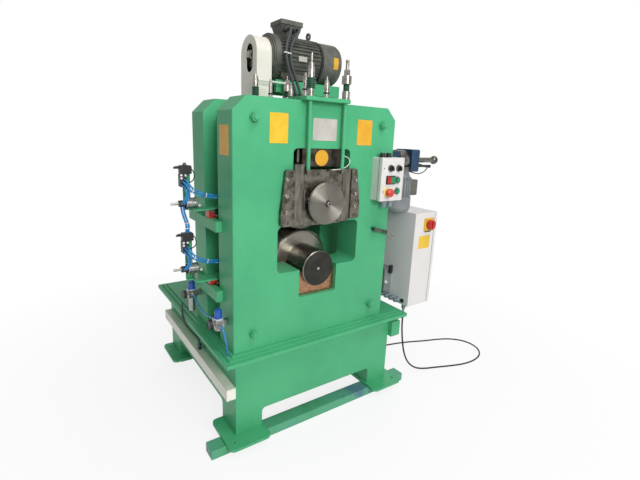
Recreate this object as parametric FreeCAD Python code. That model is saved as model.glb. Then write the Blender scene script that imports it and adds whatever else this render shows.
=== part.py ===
# Powered two-roll rolling stand on a cast bedplate, in millimetres.
#
# Everything is drawn in the stand's own datum: X runs along the front housing from its left edge,
# Y runs back from the housing's front face, and Z runs up from the table top. The export moves it
# to the shared frame: the centre of the stand's outline box, at floor level.

import FreeCAD
import Part

import math
import os

V = FreeCAD.Vector

# Driving dimensions
HOUSING_W = 800.0        # width of each roll housing
HOUSING_H = 1000.0       # height of each roll housing above the table
HOUSING_T = 140.0        # thickness of each roll housing
GAP = 150.0              # clear space between the two housings
CORNER = 54.0            # chamfer at the housing's top corners
TABLE_H = 450.0          # table top above the floor
TABLE_FRONT = 50.0       # table edge in front of the housing and to its left
TABLE_RIGHT = 150.0      # table edge right of the housing
TABLE_BACK = 540.0       # table edge behind the rear housing
LEG_W = 125.0
LEG_D = 147.0
LEG_CLEAR = 87.0         # opening under the aprons
FOOT_PLATE_T = 12.0
SKID_H = 42.0
ANCHOR_R = 8.0

LOWER_Z = 303.0          # lower roll's axis
BARREL_R = 145.0
NIP = 4.0                # between the two barrels
UPPER_JOURNAL_R = 62.0
LOWER_NECK_R = 80.0
ROD_R = 8.0              # tie rods
ROD_DX = 86.0            # tie rods to each side of the roll axis
ROD_Y = -20.0            # tie rods in front of the housing
STUD_DX = 54.0
TIE_R = 10.0             # bolts through both housings

# Named clearances
FIT = 0.05               # radial, running fits
CLEAR = 0.3              # between curved faces of different pieces
SLIDE = 0.5              # between the chocks and their liners

# Derived
ROLL_X = HOUSING_W / 2.0                 # roll axes, seen along Y
UPPER_Z = LOWER_Z + 2 * BARREL_R + NIP   # upper roll's axis
REAR_Y = HOUSING_T + GAP                 # front face of the rear housing
BACK_Y = REAR_Y + HOUSING_T              # rear face of the rear housing
MID_Y = (REAR_Y + HOUSING_T) / 2.0       # mirror plane between the housings
FLOOR_Z = -TABLE_H
TABLE_X = (-TABLE_FRONT, HOUSING_W + TABLE_RIGHT)
TABLE_Y = (-TABLE_FRONT, BACK_Y + TABLE_BACK)
BASE_X = (TABLE_X[0] + 65.0, TABLE_X[1] - 65.0)
BASE_Y = (TABLE_Y[0] + 67.0, TABLE_Y[1] - 20.0)
ANCHOR_X = (BASE_X[0] - 25.0, BASE_X[1] + 25.0)
ANCHOR_Y = (BASE_Y[0] - 32.0, BASE_Y[1] - 35.0)
RISER_X = (ROLL_X + 200.0, ROLL_X + 250.0)   # cable riser on the rear housing's back
RISER_TOP = HOUSING_H - 150.0
SKID_Z = (FLOOR_Z, FLOOR_Z + SKID_H)
PLATE_Z = (SKID_Z[1], SKID_Z[1] + FOOT_PLATE_T)
OUTLINE_X = (-163.0, HOUSING_W + 397.0)  # from the air cylinders' rods to the adjusting rod's head
OUTLINE_Y = (-98.0, BACK_Y + TABLE_BACK)  # from the emergency stop to the table's rear edge
ORIGIN = V(sum(OUTLINE_X) / 2.0, sum(OUTLINE_Y) / 2.0, FLOOR_Z)

NODES = {}


# Helpers

def box(x, y, z):
    """A box from three (low, high) pairs."""
    return Part.makeBox(x[1] - x[0], y[1] - y[0], z[1] - z[0], V(x[0], y[0], z[0]))


def cyl_x(x, y, z, r):
    return Part.makeCylinder(r, x[1] - x[0], V(x[0], y, z), V(1, 0, 0))


def cyl_y(x, y, z, r):
    return Part.makeCylinder(r, y[1] - y[0], V(x, y[0], z), V(0, 1, 0))


def cyl_z(x, y, z, r):
    return Part.makeCylinder(r, z[1] - z[0], V(x, y, z[0]), V(0, 0, 1))


def prism_y(outline, y):
    """An outline of (x, z) points, pushed along Y."""
    wire = Part.makePolygon([V(px, y[0], pz) for px, pz in outline + outline[:1]])
    return Part.Face(wire).extrude(V(0, y[1] - y[0], 0))


def prism_x(outline, x):
    """An outline of (y, z) points, pushed along X."""
    wire = Part.makePolygon([V(x[0], py, pz) for py, pz in outline + outline[:1]])
    return Part.Face(wire).extrude(V(x[1] - x[0], 0, 0))


def lathe(profile, origin, axis):
    """A closed outline of (radius, height) points, turned about the axis through the origin."""
    wire = Part.makePolygon([V(r, 0, h) for r, h in profile + profile[:1]])
    solid = Part.Face(wire).revolve(V(0, 0, 0), V(0, 0, 1), 360)
    solid.Placement = FreeCAD.Placement(V(*origin), FreeCAD.Rotation(V(0, 0, 1), V(*axis)))
    return solid


def shaft(steps, origin, axis):
    """A solid turned piece from (radius, start, end) steps that follow each other."""
    profile = [(0, steps[0][1])]
    for r, start, end in steps:
        profile += [(r, start), (r, end)]
    profile.append((0, steps[-1][2]))
    return lathe(profile, origin, axis)


def ring(r_in, r_out, h, origin, axis):
    return lathe([(r_in, h[0]), (r_out, h[0]), (r_out, h[1]), (r_in, h[1])], origin, axis)


def hexagon(across, h, origin, axis):
    r = across / math.sqrt(3)
    points = [V(r * math.cos(math.radians(a)), r * math.sin(math.radians(a)), h[0])
              for a in range(0, 361, 60)]
    solid = Part.Face(Part.makePolygon(points)).extrude(V(0, 0, h[1] - h[0]))
    solid.Placement = FreeCAD.Placement(V(*origin), FreeCAD.Rotation(V(0, 0, 1), V(*axis)))
    return solid


def rounded(solid, r, direction, keep=None):
    """Fillets the straight edges that run along a direction."""
    edges = []
    for e in solid.Edges:
        if not isinstance(e.Curve, Part.Line):
            continue
        along = (e.Vertexes[-1].Point - e.Vertexes[0].Point).normalize()
        if abs(along.dot(V(*direction))) > 0.999 and (keep is None or keep(e.CenterOfMass)):
            edges.append(e)
    return solid.makeFillet(r, edges)


def mirrored(shape):
    """The same shape on the other housing."""
    return shape.mirror(V(0, MID_Y, 0), V(0, 1, 0))


def with_mirror(shapes):
    return shapes + [mirrored(s) for s in shapes]


def cut_all(solid, tools):
    for tool in tools:
        solid = solid.cut(tool)
    return solid


def fuse_all(shapes):
    solid = shapes[0]
    for other in shapes[1:]:
        solid = solid.fuse(other)
    return solid.removeSplitter()


def tube_path(points, factor=0.45):
    """Straight runs joined by tangent arcs, each as large as its two runs allow."""
    edges = []
    radii = []
    start = points[0]
    for a, b, c in zip(points, points[1:], points[2:]):
        u = (b - a).normalize()
        v = (c - b).normalize()
        turn = math.acos(max(-1.0, min(1.0, u.dot(v))))
        reach = factor * min(a.distanceToPoint(b), b.distanceToPoint(c))
        p = b - u * reach
        q = b + v * reach
        radius = reach / math.tan(turn / 2)
        bisector = (v - u).normalize()
        centre = b + bisector * (radius / math.cos(turn / 2))
        edges.append(Part.LineSegment(start, p).toShape())
        edges.append(Part.Arc(p, centre - bisector * radius, q).toShape())
        radii.append(radius)
        start = q
    edges.append(Part.LineSegment(start, points[-1]).toShape())
    return Part.Wire(edges), radii


def tube(points, r, label):
    """A round tube along a route, with a printed check of its volume."""
    points = [V(*p) for p in points]
    path, radii = tube_path(points)
    along = (points[1] - points[0]).normalize()
    section = Part.Wire([Part.makeCircle(r, points[0], along)])
    solid = path.makePipeShell([section], True, False)
    expected = math.pi * r * r * path.Length
    print(f"{label}: length {path.Length:.0f}, smallest radius {min(radii):.0f}, "
          f"volume ratio {solid.Volume / expected:.4f}")
    return solid


def node(name, shapes):
    NODES[name] = shapes


# Base

def make_base():
    front_skid = box((BASE_X[0] - 117, BASE_X[1] + 121), (BASE_Y[0] - 22, BASE_Y[0] + 43), SKID_Z)
    packer_y = (BASE_Y[1] - 150, BASE_Y[1] - 50)
    packers = [box((BASE_X[0] + 5, BASE_X[0] + 125), packer_y, SKID_Z),
               box((BASE_X[1] - 125, BASE_X[1] - 5), packer_y, SKID_Z)]
    node("skids", [front_skid] + packers)

    plates = []
    x_ends = ((ANCHOR_X[0] - 30, ANCHOR_X[0] + 160), (ANCHOR_X[1] - 160, ANCHOR_X[1] + 30))
    y_ends = ((ANCHOR_Y[0] - 45, ANCHOR_Y[0] + 179), (ANCHOR_Y[1] - 179, ANCHOR_Y[1] + 45))
    for x, bore_x in zip(x_ends, ANCHOR_X):
        for y, bore_y in zip(y_ends, ANCHOR_Y):
            plate = rounded(box(x, y, PLATE_Z), 25, (0, 0, 1))
            plates.append(plate.cut(cyl_z(bore_x, bore_y, PLATE_Z, ANCHOR_R)))
    node("foot_plates", plates)

    legs_x = (BASE_X[0] + LEG_W, BASE_X[1] - LEG_W)
    legs_y = (BASE_Y[0] + LEG_D, BASE_Y[1] - LEG_D)
    opening_z = (PLATE_Z[1] - 30, PLATE_Z[1] + LEG_CLEAR)
    frame = box(BASE_X, BASE_Y, (PLATE_Z[1], -30))
    through_y = rounded(box(legs_x, (BASE_Y[0] - 1, BASE_Y[1] + 1), opening_z), 18, (0, 1, 0))
    through_x = rounded(box((BASE_X[0] - 1, BASE_X[1] + 1), legs_y, opening_z), 18, (1, 0, 0))
    hollow = box((BASE_X[0] + 30, BASE_X[1] - 30), (BASE_Y[0] + 30, BASE_Y[1] - 30), (PLATE_Z[1] + 36, -60))
    legs = []
    for x in ((BASE_X[0], legs_x[0]), (legs_x[1], BASE_X[1])):
        for y in ((BASE_Y[0], legs_y[0]), (legs_y[1], BASE_Y[1])):
            legs.append(box(x, y, (PLATE_Z[1], -60)))
    frame = cut_all(frame, [through_y, through_x, cut_all(hollow, legs)])
    lug = rounded(box((BASE_X[1], BASE_X[1] + 60), (BASE_Y[0] - 27, BASE_Y[0] + 103), (-150, -68)), 6,
                  (0, 1, 0), lambda c: c.x > BASE_X[1] + 15)
    node("base_frame", [frame.fuse(lug)])

    lip = box(TABLE_X, TABLE_Y, (-30, -14))
    second = box((TABLE_X[0] + 20, TABLE_X[1] - 20), (TABLE_Y[0] + 20, TABLE_Y[1] - 20), (-14, -7))
    top = box((TABLE_X[0] + 38, TABLE_X[1] - 38), (TABLE_Y[0] + 38, TABLE_Y[1] - 38), (-7, 0))
    node("table_top", [rounded(fuse_all([lip, second, top]), 4, (0, 0, 1))])

    duct = box((BASE_X[0] - 40, BASE_X[0]), (BASE_Y[0] - 2, BASE_Y[1] - 12), (-216, -165))
    duct = duct.cut(box((BASE_X[0] - 37, BASE_X[0] - 3), (BASE_Y[0] + 1, BASE_Y[1] - 15), (-213, -168)))
    riser = box(RISER_X, (BACK_Y, BACK_Y + 40), (0, RISER_TOP))
    riser = riser.cut(box((RISER_X[0] + 2, RISER_X[1] - 2), (BACK_Y + 2, BACK_Y + 38), (2, RISER_TOP - 3)))
    node("cable_trunking", [duct, riser])


# Housings and what is fixed on them

TIE_X = (85.0, HOUSING_W - 85.0)
TIE_Z = (75.0, HOUSING_H - 75.0)
WINDOW_X = (ROLL_X - 143.0, ROLL_X + 143.0)
WINDOW_TOP = UPPER_Z + 221.0
LOW_WINDOW_X = (ROLL_X - 208.0, ROLL_X + 208.0)
LOW_WINDOW_Z = (LOWER_Z + 7.0, UPPER_Z - 91.0)
SLOT_X = (ROLL_X - 98.0, ROLL_X + 98.0)
SLOT_Z = LOWER_Z - 118.0
SPRING_LOW = (43.0, 47.0)      # disc springs of the left and right rod, above the housing
SPRING_HIGH = (83.0, 75.0)
ADJUST_Y = HOUSING_T / 2.0
ADJUST_Z = UPPER_Z + 171.0
ADJUST_R = 13.0


def make_housings():
    outline = [(0, 0), (HOUSING_W, 0), (HOUSING_W, HOUSING_H - CORNER),
               (HOUSING_W - CORNER, HOUSING_H), (CORNER, HOUSING_H), (0, HOUSING_H - CORNER)]
    y = (0, HOUSING_T)
    through = (-1, HOUSING_T + 1)
    plate = rounded(prism_y(outline, y), 6, (0, 0, 1), lambda c: c.y < 1)
    upper = rounded(box(WINDOW_X, through, (UPPER_Z - 117, WINDOW_TOP)), 20, (0, 1, 0),
                    lambda c: c.z > WINDOW_TOP - 1)
    lower = rounded(box(LOW_WINDOW_X, through, LOW_WINDOW_Z), 22, (0, 1, 0))
    slot = rounded(box(SLOT_X, through, (SLOT_Z, LOWER_Z + 27)), 8, (0, 1, 0),
                   lambda c: c.z < SLOT_Z + 15)
    bores = [cyl_y(x, through, z, TIE_R + CLEAR) for x in TIE_X for z in TIE_Z]
    front = cut_all(plate, [upper, lower, slot] + bores)
    node("rear_housing", [mirrored(front)])
    screw_bore = cyl_x((WINDOW_X[1] - 5, HOUSING_W + 1), ADJUST_Y, ADJUST_Z, ADJUST_R + CLEAR)
    node("front_housing", [front.cut(screw_bore)])

    spacers = []
    bolts = []
    for x in TIE_X:
        for z in TIE_Z:
            spacers.append(ring(TIE_R + CLEAR, 30, (HOUSING_T, REAR_Y), (x, 0, z), (0, 1, 0)))
            bolts.append(cyl_y(x, (-26, BACK_Y + 26), z, TIE_R))
            nuts = []
            nuts.append(ring(TIE_R, 18.5, (-4, 0), (x, 0, z), (0, 1, 0)))
            nuts.append(hexagon(30, (-21, -4), (x, 0, z), (0, 1, 0)).cut(cyl_y(x, (-30, 0), z, TIE_R)))
            bolts += with_mirror(nuts)
    node("spacer_tubes", spacers)
    node("tie_bolts", bolts)

    top = HOUSING_H
    plate = rounded(box((ROLL_X - 116, ROLL_X + 102), (-40, 105), (top, top + 15)), 10, (0, 0, 1))
    rods = [cyl_z(ROLL_X + s * ROD_DX, ROD_Y, (top - 10, top + 30), ROD_R + CLEAR) for s in (-1, 1)]
    pieces = [cut_all(plate, rods)]
    for s in (-1, 1):
        x = ROLL_X + s * ROD_DX
        r, low = (11.5, SPRING_LOW[0]) if s < 0 else (16, SPRING_LOW[1])
        pieces.append(ring(ROD_R + CLEAR, r, (top + 15, top + low), (x, ROD_Y, 0), (0, 0, 1)))
        x = ROLL_X + s * STUD_DX
        if s < 0:
            profile = [(0, 15), (9.5, 15), (9.5, 45), (12, 45), (12, 51), (9, 51), (9, 92), (5, 106),
                       (5, 112), (0, 112)]
        else:
            profile = [(0, 15), (9, 15), (9, 40), (14, 40), (14, 46), (11.5, 46), (11.5, 80), (7, 96),
                       (3, 98), (3, 108), (0, 108)]
        pieces.append(lathe(profile, (x, ADJUST_Y, top), (0, 0, 1)))
    node("crossheads", with_mirror(pieces))

    left = rounded(box((WINDOW_X[0], SLOT_X[0]), (-15, HOUSING_T), (UPPER_Z - 87, UPPER_Z + 159)),
                   2, (0, 0, 1))
    right = rounded(box((SLOT_X[1], WINDOW_X[1]), (-15, HOUSING_T), (UPPER_Z - 87, UPPER_Z + 140)),
                    2, (0, 0, 1))
    node("window_liners", with_mirror([left, right]))

    left = [(-196, -87), (-143.5, -87), (-143.5, 138), (-178, 138), (-186, 131), (-206, -35), (-206, -77)]
    right = [(143.5, -78), (188, -78), (195, -71), (195, -7), (173, 134), (166, 140), (143.5, 140)]
    plates = []
    for side in (left, right):
        plates.append(prism_y([(ROLL_X + dx, UPPER_Z + dz) for dx, dz in side], (-20, 0)))
    node("gib_plates", with_mirror(plates))
    screws = []
    for x, heights in ((ROLL_X - 183, (-28, 36, 101)), (ROLL_X + 167, (-24, 32, 90))):
        for z in (UPPER_Z + dz for dz in heights):
            head = cyl_y(x, (-28, -20), z, 8).cut(hexagon(7, (-30, -24), (x, 0, z), (0, 1, 0)))
            screws.append(head.makeFillet(2, [e for e in head.Edges if e.Length > 49
                                              and e.CenterOfMass.y < -27]))
    node("gib_screws", with_mirror(screws))

    block = box((ROLL_X - 95, ROLL_X + 95), (10, 130), (UPPER_Z + 149, WINDOW_TOP))
    pocket = cyl_x((ROLL_X + 50, ROLL_X + 96), ADJUST_Y, ADJUST_Z, ADJUST_R + CLEAR)
    guide = box((ROLL_X - 114, ROLL_X - 104), (20, 50), (UPPER_Z + 165, WINDOW_TOP))
    node("pressure_blocks", with_mirror([block.cut(pocket), guide]))

    bearing = rounded(box(SLOT_X, (20, HOUSING_T), (SLOT_Z, LOWER_Z - 13)), 8, (0, 1, 0),
                      lambda c: c.z < SLOT_Z + 15)
    bearing = bearing.cut(cyl_y(ROLL_X, (0, 200), LOWER_Z, LOWER_NECK_R + FIT))
    node("bearing_blocks", with_mirror([bearing]))

    top = HOUSING_H
    plates = [box((ROLL_X - 251, ROLL_X - 171), (-1, 0), (top - 165, top - 53)),
              box((ROLL_X + 175, ROLL_X + 258), (-1, 0), (top - 164, top - 57)),
              box((ROLL_X - 56, ROLL_X + 63), (-1.5, 0), (top - 150, top - 63)),
              box((-1, 0), (33, 117), (top - 215, top - 105)),
              cyl_y(ROLL_X, (9, 10), UPPER_Z + 183, 33)]
    node("blank_plates", plates)


# Rolls and carriage

BALL_END = HOUSING_W + 397.0
BALL_R = 22.0
UPPER_TRAVEL = (-3.0, 8.0)
CASE_Y = (BACK_Y + 130.0, BACK_Y + 470.0)    # gear case behind the housings
SPINDLE_END = CASE_Y[0] + 15.0


def make_rolls():
    chock = box((SLOT_X[0] + SLIDE, SLOT_X[1] - SLIDE), (-15, HOUSING_T),
                (UPPER_Z - 92, UPPER_Z + 138))
    chock = rounded(chock, 4, (0, 0, 1))
    chock = chock.cut(cyl_y(ROLL_X, (-20, 150), UPPER_Z, UPPER_JOURNAL_R + FIT))
    lugs = []
    for s in (-1, 1):
        x = ROLL_X + s * ROD_DX
        lugs.append(box((x - 10, x + 10), (-30, -15), (UPPER_Z + 120, UPPER_Z + 138)))
    node("upper_chocks", with_mirror([fuse_all([chock] + lugs)]))

    rods = []
    top = HOUSING_H
    for s, low, r, tip in ((-1, 120, 4, 170), (1, 106, 7, 166)):
        x = ROLL_X + s * ROD_DX
        rods.append(shaft([(ROD_R, UPPER_Z + 138, top + low), (r, top + low, top + tip)],
                          (x, ROD_Y, 0), (0, 0, 1)))
    x = ROLL_X - ROD_DX
    rods.append(ring(ROD_R, 13, (top + SPRING_HIGH[0], top + 120), (x, ROD_Y, 0), (0, 0, 1)))
    rods.append(ring(4, 10, (top + 120, top + 134), (x, ROD_Y, 0), (0, 0, 1)))
    x = ROLL_X + ROD_DX
    rods.append(ring(ROD_R, 19.5, (top + SPRING_HIGH[1], top + 106), (x, ROD_Y, 0), (0, 0, 1)))
    nut = hexagon(22, (top + 106, top + 129), (x, ROD_Y, 0), (0, 0, 1))
    rods.append(nut.cut(cyl_z(x, ROD_Y, (top + 100, top + 140), 7)))
    above = box((0, HOUSING_W), (REAR_Y, BACK_Y + 60), (top + 146, top + 200))
    node("tie_rods", rods + [mirrored(piece).cut(above) for piece in rods])

    springs = []
    for s, side, wide, narrow in ((-1, 0, 17, 13), (1, 1, 13, 10.8)):
        x = ROLL_X + s * ROD_DX
        low, high, count = top + SPRING_LOW[side], top + SPRING_HIGH[side], 8
        step = (high - low) / count
        outer = [(wide if i % 2 else narrow, low + i * step) for i in range(count + 1)]
        inner = [(ROD_R + (2.0 if i % 2 else 0.6), low + i * step) for i in range(count + 1)]
        springs.append(lathe(outer + inner[::-1], (x, ROD_Y, 0), (0, 0, 1)))
    node("balance_springs", with_mirror(springs))

    barrel = (HOUSING_T + 6, REAR_Y - 6)
    steps = [(UPPER_JOURNAL_R, -20, barrel[0] - 4), (78, barrel[0] - 4, barrel[0]),
             (BARREL_R, barrel[0], barrel[1]), (78, barrel[1], barrel[1] + 4),
             (UPPER_JOURNAL_R, barrel[1] + 4, BACK_Y + 20), (35, BACK_Y + 20, SPINDLE_END)]
    roll = shaft(steps, (ROLL_X, 0, UPPER_Z), (0, 1, 0))
    roll = roll.makeChamfer(3, [e for e in roll.Edges if e.Length > 2 * math.pi * BARREL_R - 1])
    disc = lathe([(0, -48), (84, -48), (88, -44), (88, -34), (80, -34), (80, -26), (70, -26),
                  (70, -20), (0, -20)], (ROLL_X, 0, UPPER_Z), (0, 1, 0))
    screw = hexagon(19, (-58, -48), (ROLL_X, 0, UPPER_Z), (0, 1, 0))
    node("upper_roll", [roll, disc, screw])

    shoulder = 46.0
    profile = [(0, 0), (77, 0), (LOWER_NECK_R, 3), (LOWER_NECK_R, barrel[0] - 4)]
    profile += [(BARREL_R - shoulder * (1 - math.sin(math.radians(a))) * 0.35,
                 barrel[0] + 14 * (1 - math.cos(math.radians(a)))) for a in (0, 30, 60, 90)]
    profile += [(BARREL_R, barrel[1] - 3), (BARREL_R - 3, barrel[1]), (LOWER_NECK_R, barrel[1]),
                (LOWER_NECK_R, BACK_Y + 10), (35, BACK_Y + 10), (35, SPINDLE_END), (0, SPINDLE_END)]
    node("lower_roll", [lathe(profile, (ROLL_X, 0, LOWER_Z), (0, 1, 0))])


# Drive behind the housings

MOTOR_Y = CASE_Y[0] + 18.0
MOTOR_Z = HOUSING_H + 245.0
INPUT_Z = MOTOR_Z - 415.0
GUARD_X = (ROLL_X - 60.0, ROLL_X + 21.0)
PULLEY_R = 60.0
CABLE_X = (GUARD_X[1] + 93.0, GUARD_X[1] + 141.0)
CABLE_Z = MOTOR_Z + 131.0
DECK_Z = MOTOR_Z - 112.0    # top of the motor stand


def stadium(r, x, low, high):
    """A slab with round ends in the plane of the belt."""
    middle = box(x, (MOTOR_Y - r, MOTOR_Y + r), (low, high))
    return middle.fuse(cyl_x(x, MOTOR_Y, high, r)).removeSplitter()


def make_drive():
    case_top = INPUT_Z - 110.0
    wall_y = (CASE_Y[0] - 5, CASE_Y[0] + 20)
    case = box((ROLL_X - 130, ROLL_X + 130), CASE_Y, (0, case_top))
    upper_slot = box((ROLL_X - 37, ROLL_X + 37), wall_y, (UPPER_Z - 41, UPPER_Z + 46))
    lower_bore = cyl_y(ROLL_X, wall_y, LOWER_Z, 35 + CLEAR)
    hollow = box((ROLL_X - 115, ROLL_X + 115), (CASE_Y[0] + 30, CASE_Y[1] - 15), (15, case_top - 15))
    case = cut_all(rounded(case, 12, (0, 0, 1)), [upper_slot, lower_bore, hollow])
    bevel = rounded(box((GUARD_X[1], GUARD_X[1] + 98), (MOTOR_Y - 78, MOTOR_Y + 78),
                        (case_top, INPUT_Z + 130)), 10, (1, 0, 0))
    bevel = bevel.cut(cyl_x((GUARD_X[1] - 1, GUARD_X[1] + 21), MOTOR_Y, INPUT_Z, 19 + CLEAR))
    node("gear_case", [case, bevel])

    outer = stadium(88, GUARD_X, INPUT_Z - 78, MOTOR_Z)
    inner = stadium(84, (GUARD_X[0] + 3, GUARD_X[1] - 3), INPUT_Z - 74, MOTOR_Z)
    window = rounded(box((GUARD_X[0] - 1, GUARD_X[0] + 4), (MOTOR_Y - 44, MOTOR_Y + 28),
                         (MOTOR_Z - 84, MOTOR_Z + 48)), 35.5, (1, 0, 0))
    holes = [cyl_x((GUARD_X[1] - 5, GUARD_X[1] + 1), MOTOR_Y, z, 24) for z in (INPUT_Z, MOTOR_Z)]
    node("belt_guard", [cut_all(outer, [inner, window] + holes)])

    for name, z in (("motor_rotor", MOTOR_Z), ("input_pulley", INPUT_Z)):
        steps = [(19, 10, 18), (PULLEY_R, 18, 62), (19, 62, 100)]
        node(name, [shaft(steps, (GUARD_X[0], MOTOR_Y, z), (1, 0, 0))])
    belt_x = (GUARD_X[0] + 20, GUARD_X[0] + 60)
    loops = []
    for r in (PULLEY_R + 8 + CLEAR, PULLEY_R + CLEAR):
        loop = stadium(r, belt_x, INPUT_Z, MOTOR_Z).fuse(cyl_x(belt_x, MOTOR_Y, INPUT_Z, r))
        loops.append(loop.removeSplitter())
    node("drive_belt", [loops[0].cut(loops[1])])

    x0 = GUARD_X[1]
    body = shaft([(98, 0, 7), (106, 7, 15), (111, 15, 45), (102, 45, 284),
                  (110, 284, 297), (108, 297, 407), (102, 407, 419), (90, 419, 424)],
                 (x0, MOTOR_Y, MOTOR_Z), (1, 0, 0))
    body = body.cut(cyl_x((x0 - 1, x0 + 21), MOTOR_Y, MOTOR_Z, 19 + CLEAR))
    fins = []
    for i in range(36):
        angle = 10.0 * i
        fin = box((x0 + 45, x0 + 279), (-1.5, 1.5), (98, 111))
        fin.Placement = FreeCAD.Placement(V(0, MOTOR_Y, MOTOR_Z), FreeCAD.Rotation(V(1, 0, 0), angle))
        fins.append(fin)
    foot_z = (DECK_Z, DECK_Z + 14)
    web_z = (DECK_Z + 7, DECK_Z + 57)
    feet = [box((x0 + 59, x0 + 99), (MOTOR_Y - 98, MOTOR_Y + 98), foot_z),
            box((x0 + 219, x0 + 259), (MOTOR_Y - 98, MOTOR_Y + 98), foot_z),
            box((x0 + 59, x0 + 259), (MOTOR_Y - 80, MOTOR_Y - 60), web_z),
            box((x0 + 59, x0 + 259), (MOTOR_Y + 60, MOTOR_Y + 80), web_z)]
    eye = ring(10, 18, (-5, 5), (x0 + 264, MOTOR_Y, MOTOR_Z + 131), (1, 0, 0))
    eye = eye.fuse(cyl_z(x0 + 264, MOTOR_Y, (MOTOR_Z + 100, MOTOR_Z + 117), 8))
    neck_x = (x0 + 84, x0 + 176)
    neck_y = (MOTOR_Y - 41, MOTOR_Y + 41)
    tray_x = (neck_x[0] - 12, neck_x[1] + 12)
    tray_y = (neck_y[0] - 12, neck_y[1] + 12)
    tray_z = (CABLE_Z - 19, CABLE_Z + 24)
    neck = box(neck_x, neck_y, (MOTOR_Z + 90, tray_z[0]))
    body = fuse_all([body] + fins + feet + [eye, neck])
    corners = []
    for x, y, z in ((neck_x, neck_y, tray_z[0]), (tray_x, tray_y, tray_z[1])):
        rim = [V(x[0], y[0], z), V(x[1], y[0], z), V(x[1], y[1], z), V(x[0], y[1], z)]
        corners.append(Part.makePolygon(rim + rim[:1]))
    tray = Part.makeLoft(corners, True, True)
    glands = [cyl_y(x, (MOTOR_Y - 78, MOTOR_Y - 38), CABLE_Z, 12) for x in CABLE_X]
    tray = fuse_all([tray] + glands)
    lid = box((tray_x[0] - 6, tray_x[1] + 6), (tray_y[0] - 6, tray_y[1] + 6),
              (tray_z[1], tray_z[1] + 21))
    node("motor", [body, tray, rounded(lid, 6, (0, 0, 1))])

    deck_x = (x0 + 25, x0 + 419)
    deck_y = (MOTOR_Y - 90, MOTOR_Y + 102)
    inside_y = (deck_y[0] + 20, deck_y[1] - 20)
    beam_z = (DECK_Z - 58, DECK_Z - 12)
    head_z = (DECK_Z - 38, DECK_Z - 12)
    plate = box(deck_x, deck_y, (DECK_Z - 12, DECK_Z))
    rails = [box(deck_x, (deck_y[0], inside_y[0]), beam_z), box(deck_x, (inside_y[1], deck_y[1]), beam_z),
             box((deck_x[1] - 20, deck_x[1]), inside_y, beam_z)]
    posts = []
    for x in ((x0 + 139, x0 + 219), (x0 + 339, x0 + 419)):
        rails.append(box(x, inside_y, head_z))
        post = box(x, (MOTOR_Y - 38, MOTOR_Y + 42), (10, head_z[0]))
        posts.append(post.cut(box((x[0] + 6, x[1] - 6), (MOTOR_Y - 32, MOTOR_Y + 36), (11, head_z[0] - 1))))
        posts.append(box((x[0] - 20, x[1] + 20), (MOTOR_Y - 58, MOTOR_Y + 62), (0, 10)))
    node("motor_stand", [fuse_all([plate] + rails + posts)])

    cables = []
    exit_y = MOTOR_Y - 78.0
    riser_y = BACK_Y + 20.0
    sides = ((CABLE_X[0], RISER_X[0] + 14, (-20, -38, -42, -24, 2, 30, 62, 90)),
             (CABLE_X[1], RISER_X[1] - 14, (-28, -58, -68, -48, -18, 12, 42, 66)))
    drop = ((-1, -37), (-5, -80), (-6, -136), (-7, -198), (-4, -260), (0, -324), (2, -386), (0, -446))
    for x, riser_x, bends in sides:
        points = [(x, exit_y, CABLE_Z), (x, exit_y - 21, CABLE_Z), (x - 6, exit_y - 40, CABLE_Z - 12)]
        points += [(x + dx, riser_y + dy, CABLE_Z + dz) for dx, (dy, dz) in zip(bends, drop)]
        points += [(riser_x, riser_y, RISER_TOP + 34), (riser_x, riser_y, RISER_TOP)]
        cables.append(tube(points, 7, "motor cable"))
    node("motor_cables", cables)


# Roll adjusting gearmotor on the right

def make_adjuster():
    y, z, w = ADJUST_Y, ADJUST_Z, HOUSING_W
    motor_x = w + 120
    adapter = box((w, w + 80), (y - 40, y + 40), (z - 40, z + 45))
    sleeve = cyl_x((w + 80, w + 140), y, z, 50)
    cover = rounded(box((w + 145, w + 200), (y - 56, y + 56), (z - 55, z + 54)), 10, (1, 0, 0))
    neck = cyl_x((w + 140, w + 145), y, z, 40)
    foot = cyl_z(motor_x, y, (z - 68, z - 30), 52)
    body = fuse_all([adapter, sleeve, neck, cover, foot])
    body = body.cut(cyl_x((w - 1, w + 201), y, z, ADJUST_R + CLEAR))
    sensors = [cyl_x((w + 200, w + 315), y + dy, z - 28, 6) for dy in (-30, 30)]
    strap = box((w + 300, w + 308), (y - 40, y + 40), (z - 37, z - 25))
    strap = cut_all(strap, [cyl_x((w + 290, w + 320), y + dy, z - 28, 6) for dy in (-30, 30)])
    node("adjust_gearbox", [body] + sensors + [strap])

    profile = [(0, -258), (44, -258), (62, -251), (70, -236), (70, -180), (60, -176), (60, -80),
               (54, -68), (0, -68)]
    motor = lathe(profile, (motor_x, y, z), (0, 0, 1))
    fins = []
    for i in range(24):
        fin = box((56, 66), (-1.5, 1.5), (z - 176, z - 83))
        fin.Placement = FreeCAD.Placement(V(motor_x, y, 0), FreeCAD.Rotation(V(0, 0, 1), 15.0 * i))
        fins.append(fin)
    terminal = rounded(box((motor_x + 50, motor_x + 102), (y - 40, y + 40), (z - 175, z - 96)), 6,
                       (1, 0, 0))
    node("adjust_motor", [fuse_all([motor] + fins + [terminal])])

    centre = BALL_END - BALL_R
    rod = cyl_x((ROLL_X + 220, centre), y, z, ADJUST_R)
    node("adjust_rod", [rod.fuse(Part.makeSphere(BALL_R, V(centre, y, z)))])


# Operator's control box

PANEL_Y = -64.0
BOX_X = (HOUSING_W - 124.0, HOUSING_W + 12.0)
BOX_Z = (594.0, 786.0)
SELECTOR_X = (BOX_X[0] + 53.0, BOX_X[0] + 102.0)
STOP_X = BOX_X[0] + 40.0


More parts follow.
